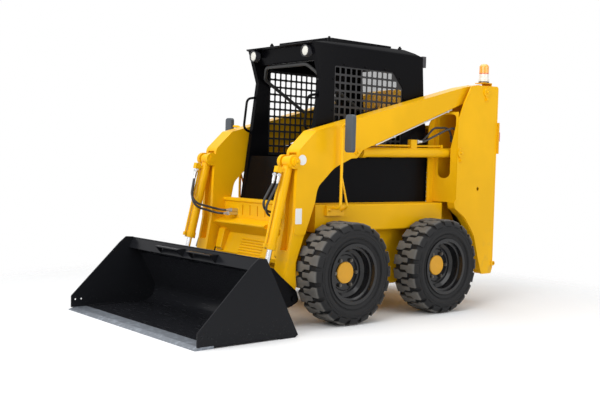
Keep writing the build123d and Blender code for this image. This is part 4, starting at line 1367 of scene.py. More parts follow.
def tow_eye():
    """Bored lug at the foot of the tower's rear edge."""
    place = (TOWER_REAR_Y + TOW_EYE_REACH - TOW_EYE_RADIUS, TOWER_FOOT_Z + 88)
    x = (TOWER_OUTER_X - TOWER_PLATE - 8, TOWER_OUTER_X + 8)
    lug = bar_x(place, TOW_EYE_RADIUS, *x)
    z = (place[1] - TOW_EYE_RADIUS, place[1] + TOW_EYE_RADIUS)
    lug += block(x, (TOWER_REAR_Y - 30, place[0]), z)
    return lug - bar_x(place, TOW_EYE_RADIUS / 2, x[0] - 1, x[1] + 1)


def beacon_shelf():
    """Bracket on the left tower's rear plate that carries the beacon."""
    reach = BEACON_BASE_RADIUS + 6
    x = (BEACON_X - reach, BEACON_X + reach)
    shelf = block(x, (BEACON_Y - reach, TOWER_REAR_Y), (SHELF_Z - SHELF_THICKNESS, SHELF_Z))
    return shelf + block(x, (TOWER_REAR_Y - SHELF_THICKNESS, TOWER_REAR_Y), (1880, SHELF_Z))


def door_hinge_lugs():
    """Pins on lugs at the right tower's rear face that carry the rear door."""
    whole = Form()
    for height in DOOR_HINGE_HEIGHTS:
        low = height - DOOR_LUG
        high = height + DOOR_HINGE_LENGTH + DOOR_LUG
        whole += post_z((DOOR_HINGE_X, DOOR_HINGE_Y), DOOR_PIN_RADIUS, low, high)
        reach = (DOOR_HINGE_X - 9, DOOR_HINGE_X + 9)
        depth = (TOWER_REAR_Y - 2, DOOR_HINGE_Y + 9)
        whole += block(reach, depth, (low, height - FIT))
        whole += block(reach, depth, (height + DOOR_HINGE_LENGTH + FIT, high))
    return whole


def post_face_y(z):
    """Front face of the front posts at a height."""
    share = (z - DECK_Z) / (POST_KNEE_Z - DECK_Z)
    return POST_FOOT_Y + share * (POST_KNEE_Y - POST_FOOT_Y)


def rear_face_y(z):
    """Outer face of the cab's rear wall at a height above its bend."""
    share = (z - CAB_BEND_Z) / (ROOF_LOW_Z - CAB_BEND_Z)
    return CAB_REAR_Y - 66 - 24 * share


def window_rows(margin):
    """Rows round the pattern of mesh holes, with its upper rear corner cut."""
    low_y = MESH_FRONT_Y - margin
    low_z = MESH_LOW_Z - margin
    high_y = MESH_FRONT_Y + (MESH_COLUMNS - 1) * MESH_PITCH[0] + MESH_HOLE[0] + margin
    high_z = MESH_LOW_Z + (MESH_ROWS - 1) * MESH_PITCH[1] + MESH_HOLE[1] + margin
    return (
        (low_y, low_z, 14),
        (high_y, low_z, 14),
        (high_y, high_z - 2 * MESH_PITCH[1], 20),
        (high_y - 2 * MESH_PITCH[0], high_z, 20),
        (low_y, high_z, 14),
    )


def cab_side(side):
    """Side panel with its window cut out, from sill to roof."""
    rows = (
        (POST_FOOT_Y, DECK_Z + FIT),
        (CAB_REAR_Y, DECK_Z + FIT),
        (CAB_REAR_Y + 3, CAB_KNEE_Z, 60),
        (CAB_REAR_Y - 66, CAB_BEND_Z, 60),
        (CAB_REAR_Y - 90, ROOF_LOW_Z),
        (VISOR_Y + 31, ROOF_LOW_Z),
        (POST_KNEE_Y, POST_KNEE_Z, 30),
    )
    whole = slab(rows, CAB_X - CAB_POST, CAB_X)
    recess = (
        (60, DECK_Z + 60, 40),
        (CAB_REAR_Y - 76, DECK_Z + 60, 40),
        (CAB_REAR_Y - 71, CAB_KNEE_Z, 60),
        (CAB_REAR_Y - 136, CAB_BEND_Z, 60),
        (CAB_REAR_Y - 156, ROOF_LOW_Z - 40, 40),
        (50, ROOF_LOW_Z - 60, 40),
    )
    whole -= slab(recess, CAB_X - CAB_POST - 1, CAB_X - CAB_SKIN)
    whole -= slab(window_rows(MESH_MARGIN), CAB_X - CAB_POST - 1, CAB_X + 1)
    return on_side(whole, side)


def cab_rear():
    """Rear wall of the cab with its window opening."""
    half = CAB_X - CAB_POST - FIT
    rows = (
        (CAB_REAR_Y - 30, DECK_Z + FIT),
        (CAB_REAR_Y, DECK_Z + FIT),
        (CAB_REAR_Y + 3, CAB_KNEE_Z, 60),
        (CAB_REAR_Y - 66, CAB_BEND_Z, 60),
        (CAB_REAR_Y - 90, ROOF_LOW_Z),
        (CAB_REAR_Y - 120, ROOF_LOW_Z),
        (CAB_REAR_Y - 96, CAB_BEND_Z, 60),
        (CAB_REAR_Y - 27, CAB_KNEE_Z, 60),
    )
    window = block(
        (-half + 50, half - 50),
        (CAB_REAR_Y - 256, CAB_REAR_Y + 144),
        (REAR_WINDOW_Z, ROOF_LOW_Z - 72),
    )
    return slab(rows, -half, half) - window


def grab_handles():
    """Bowed handrails on the front posts."""
    whole = Form()
    for _, side in SIDES:
        x = side * (CAB_X - 28)
        top = post_face_y(HANDLE_HIGH_Z) - HANDLE_FOOT / 2
        foot = post_face_y(HANDLE_LOW_Z) - HANDLE_FOOT / 2
        points = (
            (x, top, HANDLE_HIGH_Z),
            (x, top - 85, HANDLE_HIGH_Z - 14),
            (x, foot - 75, HANDLE_LOW_Z + 30),
            (x, foot, HANDLE_LOW_Z),
        )
        whole += tube(points, 48, HANDLE_RADIUS)
        for z in (HANDLE_LOW_Z, HANDLE_HIGH_Z):
            low = (post_face_y(z - 24) - FIT, z - 24)
            high = (post_face_y(z + 24) - FIT, z + 24)
            rows = (low, high, (high[0] - HANDLE_FOOT, high[1]), (low[0] - HANDLE_FOOT, low[1]))
            whole += slab(rows, x - 14, x + 14)
    return whole


def arm_rows():
    """Side outline of an arm, from the tower down to the bucket pin."""
    pivot_y, pivot_z = ARM_PIVOT
    foot_y, foot_z = BUCKET_PIN
    eye_y, eye_z = LIFT_EYE_PIN
    return (
        (-251, 1446, 20),
        (-407, 1299, 60),
        (-425, 1110),
        (-436, 750, 200),
        (foot_y - 86, foot_z + 52, 30),
        (foot_y - 74, foot_z - 40, 40),
        (foot_y + 12, foot_z - 62, 40),
        (foot_y + 38, foot_z + 39, 10),
        (foot_y + 30, foot_z + 255, 80),
        (foot_y + 68, foot_z + 359, 80),
        (-246, 911),
        (-222, 1030, 120),
        (-63, 1174, 200),
        (eye_y - 58, eye_z - 51, 40),
        (eye_y + 6, eye_z - 46, 30),
        (eye_y + 62, eye_z + 18, 20),
        (pivot_y - 263, pivot_z - 115, 60),
        (pivot_y - 20, pivot_z - 62, 20),
        (pivot_y + 60, pivot_z - 40, 50),
        (pivot_y + 62, pivot_z + 55, 50),
        (pivot_y - 60, pivot_z + 64, 60),
        (pivot_y - 238, pivot_z + 30, 60),
    )


def doubler_region():
    """Rows round the part of the arm that its outer doubler covers, ending in a rounded tongue."""
    low = DOUBLER_LOW_Z
    return (
        (-700, 2100),
        (-700, low + 68),
        (-434, low + 68),
        (-440, low, 48),
        (-318, low, 48),
        (-293, low + 68),
        (2000, low + 68),
        (2000, 2100),
    )


def lift_arm(side):
    """One arm with its doubler, forks for the two cylinders, and bores for its pins."""
    doubler_x = ARM_OUTER_X - ARM_DOUBLER
    whole = slab(arm_rows(), ARM_INNER_X, doubler_x)
    skin = (doubler_x, ARM_OUTER_X)
    whole += slab(arm_rows(), *skin) & slab(doubler_region(), *skin)
    whole += bar_x(TILT_BASE_PIN, ARM_BOSS_RADIUS, ARM_INNER_X, ARM_OUTER_X)
    slack = EYE_WIDTH / 2 + FORK_SLACK
    fork = (CYLINDER_X - slack, CYLINDER_X + slack)
    tilt_y, tilt_z = TILT_BASE_PIN
    pocket = bar_x(TILT_BASE_PIN, 78, *fork)
    pocket += slab(
        (
            (tilt_y - 120, tilt_z + 78),
            (tilt_y + 20, tilt_z + 78),
            (tilt_y + 78, tilt_z),
            (tilt_y + 70, tilt_z - 120),
            (tilt_y + 46, tilt_z - 300),
            (tilt_y + 30, 560),
            (tilt_y - 250, 560),
        ),
        *fork,
    )
    whole -= pocket
    eye_y, eye_z = LIFT_EYE_PIN
    front = eye_y - EYE_RADIUS - 20
    eye_pocket = (
        (front, eye_z + LIFT_EYE_ROOM, 40),
        (front, eye_z - 120),
        (eye_y + 360, eye_z - 120),
        (eye_y + 360, eye_z + LIFT_EYE_ROOM),
    )
    whole -= slab(eye_pocket, *fork)
    reach = (TOWER_INNER_X + TOWER_PLATE + 2, TOWER_OUTER_X - TOWER_PLATE - 2)
    whole += bar_x(ARM_PIVOT, ARM_BOSS_RADIUS + 6, *reach)
    whole -= bar_x(ARM_PIVOT, PIN_RADIUS + PIN_FIT, 0, TOWER_OUTER_X)
    whole += bar_x(LIFT_EYE_PIN, PIN_RADIUS, ARM_INNER_X - 4, fork[0] + 8)
    whole += bar_x(LIFT_EYE_PIN, PIN_RADIUS, fork[1] - 8, ARM_OUTER_X + 8)
    whole += bar_x(TILT_BASE_PIN, PIN_RADIUS, ARM_INNER_X - 4, ARM_OUTER_X + 30)
    whole += bar_x(TILT_BASE_PIN, PIN_RADIUS + 9, ARM_OUTER_X - 1, ARM_OUTER_X + 22)
    whole -= bar_x(BUCKET_PIN, PIN_RADIUS + PIN_FIT, ARM_INNER_X - 10, ARM_OUTER_X + 10)
    return on_side(whole, side)


def cross_member():
    """Pressed cross member between the arm legs: slotted box, forward shelf and louvred plate."""
    half = ARM_INNER_X - FIT
    shelf_front = CROSS_FRONT_Y - CROSS_SHELF_REACH
    shelf_low = CROSS_SHELF_Z - CROSS_SHELF_DROP
    rows = (
        (CROSS_FRONT_Y + CROSS_DEPTH, CROSS_TOP_Z, 6),
        (CROSS_FRONT_Y - CROSS_LIP, CROSS_TOP_Z, 4),
        (CROSS_FRONT_Y - CROSS_LIP, CROSS_TOP_Z - 24, 4),
        (CROSS_FRONT_Y, CROSS_TOP_Z - 32),
        (CROSS_FRONT_Y, CROSS_SHELF_Z),
        (shelf_front, shelf_low, 4),
        (shelf_front, shelf_low - CROSS_PLATE, 4),
        (CROSS_FRONT_Y - 20, CROSS_SHELF_Z - 120, 10),
        (CROSS_FRONT_Y - 84, CROSS_FOOT_Z + 30),
        (CROSS_FRONT_Y - 76, CROSS_FOOT_Z),
        (CROSS_FRONT_Y - 64, CROSS_FOOT_Z),
        (CROSS_FRONT_Y - 6, CROSS_SHELF_Z - 110, 10),
        (CROSS_FRONT_Y + CROSS_DEPTH, CROSS_SHELF_Z, 10),
    )
    whole = slab(rows, -half, half)
    slot_z = (CROSS_SHELF_Z + 28, CROSS_SHELF_Z + 28 + CROSS_SLOT[1])
    slot_y = (CROSS_FRONT_Y - 1, CROSS_FRONT_Y + CROSS_PLATE)
    for x in CROSS_SLOTS_X:
        whole -= block((x - CROSS_SLOT[0] / 2, x + CROSS_SLOT[0] / 2), slot_y, slot_z)
    start = (CROSS_FRONT_Y - 20, CROSS_SHELF_Z - 120)
    _, line = line_between(start, (CROSS_FRONT_Y - 84, CROSS_FOOT_Z + 30))
    for index in range(LOUVRE_COUNT):
        distance = 38 + index * LOUVRE_PITCH
        rib = (
            along(start, line, distance, 1),
            along(start, line, distance + LOUVRE_PITCH / 2, -LOUVRE_HEIGHT),
            along(start, line, distance + LOUVRE_PITCH / 2 + 2, 1),
        )
        whole += slab(rib, -LOUVRE_HALF_LENGTH, LOUVRE_HALF_LENGTH)
    bracket = (
        (CROSS_FRONT_Y - 4, CROSS_SHELF_Z - 70),
        (shelf_front + 30, CROSS_SHELF_Z - 96),
        (shelf_front - 6, CROSS_FOOT_Z + 60, 12),
        (CROSS_FRONT_Y - 78, CROSS_FOOT_Z + 30),
    )
    for x in BRACKETS_X:
        whole += slab(bracket, x - BRACKET_HALF, x + BRACKET_HALF)
    notch = (shelf_front - 1, shelf_front + 36)
    return whole - block(NOTCH_X, notch, (shelf_low - 2 * CROSS_PLATE, shelf_low + 20))


def barrel(kind, side):
    """A cylinder's barrel: base eye, gland, bore for the rod, port block and pipes."""
    base, eye, radius, rod_radius, showing, port, pipe_ends = CYLINDERS[kind]
    length, line = line_between(base, eye)
    end = length - EYE_RADIUS - showing

    def centre(distance):
        """Place on the barrel's axis, at a distance from its base."""
        return (CYLINDER_X, *along(base, line, distance))

    eye_x = (CYLINDER_X - EYE_WIDTH / 2, CYLINDER_X + EYE_WIDTH / 2)
    whole = bar(centre(EYE_RADIUS - 6), centre(end), radius)
    whole += bar(centre(end - GLAND_LENGTH), centre(end), radius + 5)
    whole += bar_x(base, EYE_RADIUS, *eye_x)
    whole -= bar_x(base, PIN_RADIUS + PIN_FIT, *eye_x)
    whole -= bar(centre(BORE_START), centre(length), rod_radius + PIN_FIT)
    whole += port_and_pipes(base, line, radius, port, (*pipe_ends, end - GLAND_LENGTH / 2))
    return on_side(whole, side)


def port_and_pipes(base, line, radius, port, ends):
    """Port block on a barrel, with pipes along the barrel from it to banjo blocks at the ends."""
    place, low, high, length = port
    half = PORT_WIDTH / 2

    def raised(start, stop, bottom, top, half_width):
        """Block on the barrel between two distances, from one height off its surface to another."""
        rows = []
        for distance, height in ((start, bottom), (stop, bottom), (stop, top), (start, top)):
            rows.append(along(base, line, distance, -radius - height))
        return slab(rows, CYLINDER_X - half_width, CYLINDER_X + half_width)

    whole = raised(place - length / 2, place + length / 2, low, high, half)
    whole += raised(place - length / 4, place + length / 4, -PORT_ROOT, low + 2, half - 4)
    for end in ends:
        start = (CYLINDER_X, *along(base, line, place, -radius - PIPE_CLEAR))
        stop = (CYLINDER_X, *along(base, line, end, -radius - PIPE_CLEAR))
        whole += bar(start, stop, PIPE_RADIUS)
        whole += raised(end - 14, end + 14, -PORT_ROOT, PIPE_CLEAR + 11, 13)
    return whole


def back_place(z, offset=0.0):
    """Place on the rear face of the bucket's back at a height, moved out by an offset."""
    _, line = line_between((HEEL_Y, FLOOR_Z), (BUCKET_TOP_Y, BUCKET_TOP_Z))
    distance = (z - FLOOR_Z) / line[1]
    return along((HEEL_Y, FLOOR_Z), line, distance, -offset)


def bucket_shell():
    """Floor, heel and back rolled from one sheet, with side plates, the top lip box and steps."""
    edge_back = BUCKET_LIP_Y + EDGE_DEPTH
    _, line = line_between((HEEL_Y, FLOOR_Z), (BUCKET_TOP_Y, BUCKET_TOP_Z))
    top = (BUCKET_TOP_Y, BUCKET_TOP_Z)
    top_in = along(top, line, 0, SHELL)
    heel_in = (HEEL_Y - SHELL * 1.7, FLOOR_Z + SHELL)
    half = BUCKET_HALF_WIDTH
    sheet = (
        (edge_back, FLOOR_Z),
        (HEEL_Y, FLOOR_Z, HEEL_RADIUS),
        top,
        top_in,
        (*heel_in, HEEL_RADIUS - SHELL),
        (edge_back, FLOOR_Z + SHELL),
    )
    whole = slab(sheet, -half + 1, half - 1)
    lip_front = (BUCKET_TOP_Y - LIP_BOX_REACH, BUCKET_TOP_Z - LIP_BOX_DROP)
    lip = (top, lip_front, along(top, line, -LIP_BOX_DROP - 60))
    whole += slab(lip, -half + 1, half - 1)
    side_rows = (
        (BUCKET_LIP_Y + 17, EDGE_THICKNESS),
        (edge_back, EDGE_THICKNESS),
        (edge_back, FLOOR_Z - 2),
        (HEEL_Y - 160, FLOOR_Z - 2),
        (HEEL_Y - 150, 0),
        (HEEL_Y - 22, 0, 4),
        (HEEL_Y + 4, 18),
        (BUCKET_TOP_Y, BUCKET_TOP_Z + 2, 8),
        (BUCKET_TOP_Y - 66, BUCKET_TOP_Z + 6, 12),
        (BUCKET_TOP_Y - 121, BUCKET_TOP_Z - 38, 30),
        (BUCKET_LIP_Y + 17, 110, 12),
    )
    plate = slab(side_rows, half - SIDE_PLATE, half)
    for y in SIDE_HOLES_Y:
        plate -= bar_x((y, SIDE_HOLES_Z), SIDE_HOLE_RADIUS, half - SIDE_PLATE - 1, half + 1)
    for _, side in SIDES:
        whole += on_side(plate, side)
    heel = (
        (HEEL_Y - 150, FLOOR_Z + 2),
        (HEEL_Y - 150, 0),
        (HEEL_Y - 70, 0),
        (HEEL_Y - 70, FLOOR_Z + 2),
    )
    whole += slab(heel, -half + 1, half - 1)
    for x in STEP_CENTRES_X:
        whole += bucket_step(x, lip_front)
    return whole


def bucket_step(x, lip_front):
    """Foot step: a plate on two legs, standing off the front of the top lip box."""
    low_z = lip_front[1] + 4
    high_z = lip_front[1] + STEP_RISE
    front = lip_front[0] - STEP_REACH
    rows = (
        (lip_front[0] + 12, high_z - STEP_PLATE),
        (front, high_z - STEP_PLATE, 3),
        (front, high_z, 3),
        (lip_front[0] + 30, high_z),
    )
    whole = slab(rows, x - STEP_HALF_WIDTH, x + STEP_HALF_WIDTH)
    leg = (
        (lip_front[0] + 2, low_z),
        (front + 4, high_z - STEP_PLATE + 1),
        (lip_front[0] + 14, high_z - STEP_PLATE + 1),
    )
    for edge in (x - STEP_HALF_WIDTH, x + STEP_HALF_WIDTH - STEP_PLATE):
        whole += slab(leg, edge, edge + STEP_PLATE)
    return whole


def front_flange(outer_in):
    """Slanted flange across the tower's front, with the slot that the lift cylinder passes."""
    inner_in = TOWER_INNER_X + TOWER_PLATE
    crease_y = TOWER_FRONT_Y - FLANGE_SLANT
    plan = (
        (inner_in - 1, crease_y),
        (outer_in + 1, TOWER_FRONT_Y),
        (outer_in + 1, TOWER_FRONT_Y + TOWER_PLATE),
        (inner_in - 1, crease_y + TOWER_PLATE),
    )
    flange = prism("XY", plan, DECK_Z + 8, FLANGE_HIGH_Z)
    half = SLOT_WIDTH / 2
    opening = (
        (CYLINDER_X - half, SLOT_LOW_Z, half),
        (CYLINDER_X + half, SLOT_LOW_Z, half),
        (CYLINDER_X + half, SLOT_WIDE_Z, 40),
        (outer_in - FLANGE_EDGE, SLOT_WIDE_Z + 196, 40),
        (outer_in - FLANGE_EDGE, SLOT_HIGH_Z, 30),
        (CYLINDER_X - half, SLOT_HIGH_Z, 50),
    )
    return flange - prism("XZ", opening, TOWER_FRONT_Y - 120, TOWER_FRONT_Y + 40)


def cab_roof():
    """Roof with a visor that flares forward, its header, a raised hatch plate and lifting eyes."""
    roof_low = ROOF_LOW_Z + FIT
    rows = (
        (VISOR_Y, ROOF_Z - 24, 10),
        (-32, ROOF_Z - 3, 60),
        (873, ROOF_Z + 23, 30),
        (CAB_REAR_Y - 171, ROOF_Z, 60),
        (CAB_REAR_Y - 86, roof_low + 4, 20),
        (CAB_REAR_Y - 86, roof_low),
        (VISOR_Y + 21, roof_low, 8),
    )
    section = (
        (-CAB_X, roof_low - 1),
        (CAB_X, roof_low - 1),
        (CAB_X, ROOF_Z - 22, 20),
        (CAB_X - ROOF_SLOPE, ROOF_Z + 24, 20),
        (ROOF_SLOPE - CAB_X, ROOF_Z + 24, 20),
        (-CAB_X, ROOF_Z - 22, 20),
    )
    whole = slab(rows, -CAB_X, CAB_X) & prism("XZ", section, VISOR_Y - 5, CAB_REAR_Y)
    half = CAB_X - CAB_POST - FIT
    header = (
        (VISOR_Y + 67, roof_low + 1),
        (VISOR_Y + 121, roof_low - HEADER_DROP),
        (VISOR_Y + 133, roof_low - HEADER_DROP),
        (VISOR_Y + 81, roof_low + 1),
    )
    whole += slab(header, -half, half)
    hatch = rectangle(HATCH_X, HATCH_Y, 40)
    whole += prism("XY", hatch, ROOF_Z - 10, ROOF_Z + 20 + HATCH_HEIGHT)
    for x, y in LIFTING_EYES:
        whole += post_z((x, y), 16, ROOF_Z - 10, ROOF_Z + 34)
        whole += post_z((x, y), 9, ROOF_Z, ROOF_Z + 45)
    return whole


def mirror_face(half, radius):
    """Rows of the left mirror's head or glass, from half its width and height."""
    x, z = MIRROR_PLACE
    return rectangle((x - half[0], x + half[0]), (z - half[1], z + half[1]), radius)


def mirror_assembly(side):
    """Mirror head on its upright rod, with a slanted brace, bolted to the sill."""
    stand_x = ARM_OUTER_X + 44
    foot_z = DECK_Z - 26
    head = prism("XZ", mirror_face(MIRROR_HALF, 26), -83, -49)
    sketch = bmesh.new()
    sketch.from_mesh(head.mesh)
    front = [edge for edge in sketch.edges if max(vert.co.y for vert in edge.verts) < -82]
    bmesh.ops.bevel(sketch, geom=front, offset=9, segments=3, profile=0.5, affect="EDGES")
    head = Form(mesh_of(sketch, "head"))
    points = (
        (SILL_X + 20, -30, foot_z),
        (stand_x, -30, foot_z),
        (stand_x, -30, 1500),
        (MIRROR_PLACE[0] - 12, -60, 1500),
    )
    brace = (
        (SILL_X + 12, 64, foot_z - 20),
        (stand_x - 10, 50, foot_z + 6),
        (stand_x, -30, foot_z + 250),
    )
    bracket = block((SILL_X + FIT, SILL_X + 26), (-90, 84), (foot_z - 60, foot_z + 18))
    rods = tube(points, 45, MIRROR_ROD_RADIUS) + tube(brace, 30, MIRROR_ROD_RADIUS - 3)
    return on_side(heap((head, rods, bracket)), side)


def lamp_place(side):
    """Middle of a front lamp's rim."""
    x = side * (CAB_X - CAB_POST - FIT - LAMP_RADIUS)
    return (x, VISOR_Y + 12, ROOF_LOW_Z - LAMP_RADIUS)


def work_lamps():
    """Two front lamps under the visor and one at the rear of the roof."""
    forms = []
    for _, side in SIDES:
        x, y, z = lamp_place(side)
        shell = bar((x, y, z), (x, y + 44, z), LAMP_RADIUS)
        forms.append(shell - bar((x, y - 1, z), (x, y + 10, z), LAMP_RADIUS - 5))
        forms.append(bar((x, y + 44, z), (x, y + 60, z), LAMP_RADIUS, LAMP_RADIUS - 16))
        forms.append(bar((x, y + 48, z), (x, y + 71, z), 12))
    return heap(forms + [rear_lamp(0, 0, 40)])


def rear_lamp(inset, low, high):
    """The rear lamp's housing or lens: a block between two distances from the cab's rear wall."""
    wall = rear_face_y(REAR_LAMP_Z[0]) + FIT
    x = (REAR_LAMP_X[0] + inset, REAR_LAMP_X[1] - inset)
    z = (REAR_LAMP_Z[0] + inset, REAR_LAMP_Z[1] - inset)
    return block(x, (wall + low, wall + high), z)


def rear_door():
    """Engine door between the towers, with two columns of louvres."""
    half = TOWER_INNER_X - DOOR_GAP
    front = DOOR_REAR_Y - DOOR_THICKNESS
    plan = ((-half, front), (half, front), (half, DOOR_REAR_Y, 12), (-half, DOOR_REAR_Y, 12))
    whole = prism("XY", plan, DOOR_Z_LOW, DOOR_Z_HIGH)
    inside = (-half + 20, half - 20)
    whole -= block(inside, (front - 1, DOOR_REAR_Y - 6), (DOOR_Z_LOW + 20, DOOR_Z_HIGH - 20))
    slats = []
    for index in range(DOOR_LOUVRES):
        low = DOOR_Z_LOW + 330 + index * DOOR_LOUVRE_PITCH
        for middle in (-half / 2, half / 2):
            x = (middle - DOOR_LOUVRE_HALF, middle + DOOR_LOUVRE_HALF)
            whole -= block(x, (DOOR_REAR_Y - 7, DOOR_REAR_Y + 1), (low, low + DOOR_LOUVRE_HEIGHT))
            slat = (
                (DOOR_REAR_Y - 5, low + DOOR_LOUVRE_HEIGHT + 4),
                (DOOR_REAR_Y - 1, low + DOOR_LOUVRE_HEIGHT + 4),
                (DOOR_REAR_Y - 8, low + 6),
                (DOOR_REAR_Y - 12, low + 6),
            )
            slats.append(slab(slat, x[0] - 4, x[1] + 4))
    for height in DOOR_HINGE_HEIGHTS:
        high = height + DOOR_HINGE_LENGTH
        place = (DOOR_HINGE_X, DOOR_HINGE_Y)
        whole += post_z(place, DOOR_KNUCKLE_RADIUS, height, high)
        leaf_y = (DOOR_HINGE_Y - 4, DOOR_HINGE_Y + 8)
        whole += block((DOOR_HINGE_X, -half + 6), leaf_y, (height, high))
    whole -= block((half - 120, half - 60), (DOOR_REAR_Y - 5, DOOR_REAR_Y + 1), (820, 940))
    slats.append(block((half - 100, half - 80), (DOOR_REAR_Y - 6, DOOR_REAR_Y - 1), (832, 928)))
    return heap([whole] + slats)


def hose(points):
    """Hose along a route, with a crimped sleeve and a hexagon at each end."""
    forms = [tube(points, HOSE_BEND, HOSE_RADIUS)]
    for first, second in (points[:2], points[:-3:-1]):
        line = (Vector(second) - Vector(first)).normalized()
        end = Vector(first)
        forms.append(bar(end, end + line * FITTING_LENGTH, FITTING_RADIUS))
        forms.append(bar(end + line * 4, end + line * 20, FITTING_RADIUS + 5, sides=6))
    return heap(forms)


def arm_hoses():
    """Hoses from the cross member to the tilt cylinders, and the pipes under the booms."""
    forms = []
    _, line = line_between(TILT_BASE_PIN, TILT_EYE_PIN)
    place, low, high, length = TILT_PORT
    start = place + length / 2 + 7
    middle = -TILT_BARREL_RADIUS - (low + high) / 2
    end_y = CROSS_FRONT_Y - HOSE_ELBOW
    end_z = CROSS_SHELF_Z + 62
    for _, side in SIDES:
        for across, ahead, drop in HOSE_PAIR:
            port = along(TILT_BASE_PIN, line, start, middle + ahead)
            straight = along(TILT_BASE_PIN, line, start + 80, middle + ahead)
            points = (
                (side * (CYLINDER_X + across), *port),
                (side * (CYLINDER_X + across), *straight),
                (side * (CYLINDER_X - 66 + across / 2), port[0] - 88, port[1] - 260 - drop),
                (side * (HOSE_END_X + 125), end_y - 10 - drop, end_z - 10 - drop),
                (side * HOSE_END_X, end_y - drop, end_z - drop),
            )
            forms.append(hose(points))
            elbow_x = sorted((side * (HOSE_END_X - 24), side * (HOSE_END_X + 2)))
            elbow_z = (end_z - drop - 12, end_z - drop + 12)
            forms.append(block(elbow_x, (end_y - drop - 12, CROSS_FRONT_Y - FIT), elbow_z))
        forms.append(boom_pipe(side))
    return heap(forms)


def boom_pipe(side):
    """Pipe clipped along the lower edge of a boom."""
    eye_y, eye_z = LIFT_EYE_PIN
    start = (eye_y + 62, eye_z + 18)
    pivot_y, pivot_z = ARM_PIVOT
    length, line = line_between(start, (pivot_y - 263, pivot_z - 115))
    below = -BOOM_PIPE_RADIUS - 4
    x = side * (ARM_OUTER_X - 16)
    low = (x, *along(start, line, 150, below))
    forms = [bar(low, (x, *along(start, line, length - 130, below)), BOOM_PIPE_RADIUS)]
    for share in (0.3, 0.6, 0.85):
        y, z = along(start, line, length * share, below)
        forms.append(block((x - 9, x + 9), (y - 8, y + 8), (z - 9, z + 8)))
    return heap(forms)


def lift_hoses(side):
    """Two hoses that leave a lift cylinder's port block and arch into the tower."""
    base, eye = LIFT_BASE_PIN, LIFT_EYE_PIN
    _, line = line_between(base, eye)
    place, _, high, length = LIFT_PORT
    offset = -LIFT_BARREL_RADIUS - high + 16
    start_y, start_z = along(base, line, place - length / 2 - FIT, offset)
    straight = along(base, line, place - length / 2 - 90, offset)
    inner = (
        (CYLINDER_X - 11, start_y, start_z),
        (CYLINDER_X - 11, *straight),
        (CYLINDER_X - 6, start_y + 230, start_z + 125),
        (CYLINDER_X + 18, start_y + 400, start_z + 130),
        (CYLINDER_X + 24, start_y + 430, start_z + 10),
    )
    outer = (
        (CYLINDER_X + 14, start_y, start_z),
        (CYLINDER_X + 14, *straight),
        (CYLINDER_X + 50, start_y + 310, start_z + 105),
        (CYLINDER_X + 66, start_y + 430, start_z + 140),
        (CYLINDER_X + 66, start_y + 450, start_z + 10),
    )
    return on_side(heap((hose(inner), hose(outer))), side)


def restraint_bar():
    """Raised lap bar: a cross bar below the roof's front with two arms that run down the posts."""
    bends = ((356, 420, 1640), (356, -10, 1885), (262, -70, 1975))
    points = bends + tuple((-x, y, z) for x, y, z in reversed(bends))
    return tube(points, 70, 14)


# Pieces

TO_METRES = Matrix.Scale(0.001, 4)
TO_METRES.translation = (0.0, SHIFT_Y, 0.0)
SLOTS = {row["node"]: row["material_slot"] for row in frame["record"]["subparts"]}
SOFT_EDGE = 0.6
# Farthest that cloth moves a point of a cushion, in metres
SWELL_LIMIT = 0.012


def dress(name, form, body, slot, paint=None, nodes=()):
    """Settles a form as a finished piece, in place of the CAD nodes named."""
    mesh = form.mesh.copy()
    mesh.name = name
    mesh.transform(TO_METRES)
    piece = settle(name, mesh, body, slot, paint)
    mesh.set_sharp_from_angle(angle=SOFT_EDGE)
    if nodes:
        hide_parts(*nodes)
    return piece


def reform(node, form, body):
    """Finished piece for one CAD node, in the node's own finish."""
    return dress(node + "_form", form, body, SLOTS[node], nodes=(node,))


def grown(name, tree, rows, body, slot, **values):
    """Runs a tree on marked points given as (place in mm, axis, size)."""
    points = [(spot(*place), axis, size) for place, axis, size in rows]
    return grow(name, tree, marked_points(name, points), body, slot, **values)


class LOADER_OT_paint(bpy.types.Operator):
    """Gives each CAD node the finish of its record slot"""

    bl_idname = "loader.paint"
    bl_label = "Paint the frame"

    def execute(self, context):
        for name, node in frame["nodes"].items():
            node.data.materials.clear()
            node.data.materials.append(finish(SLOTS[name]))
        return {"FINISHED"}


class LOADER_OT_tyres(bpy.types.Operator):
    """Dresses the wheels in lugged tyres with moulded rings on their sidewalls"""

    bl_idname = "loader.tyres"
    bl_label = "Tyres"

    def execute(self, context):
        scene = context.scene
        one = tyre()
        ribs = rib_tree()
        for axle, y in AXLES:
            for word, side in SIDES:
                tag = axle + "_" + word
                at = (side * TRACK_X, y, TYRE_RADIUS)
                reform("tyre_" + tag, on_side(one, side).along_by(*at), "wheel_" + tag)
                rows = []
                for radius in (0.262, 0.27, 0.305, 0.325):
                    for face in (-1, 1):
                        out = (TYRE_WIDTH / 2 - 1 - max(0, 276 - radius * 1000) * 0.25) * face
                        rows.append(((at[0] + out, at[1], at[2]), (1, 0, 0), radius))
                size = scene.loader_sizes.rib
                grown("rings_" + tag, ribs, rows, "wheel_" + tag, "tyre_rubber", rib_radius=size)
        return {"FINISHED"}


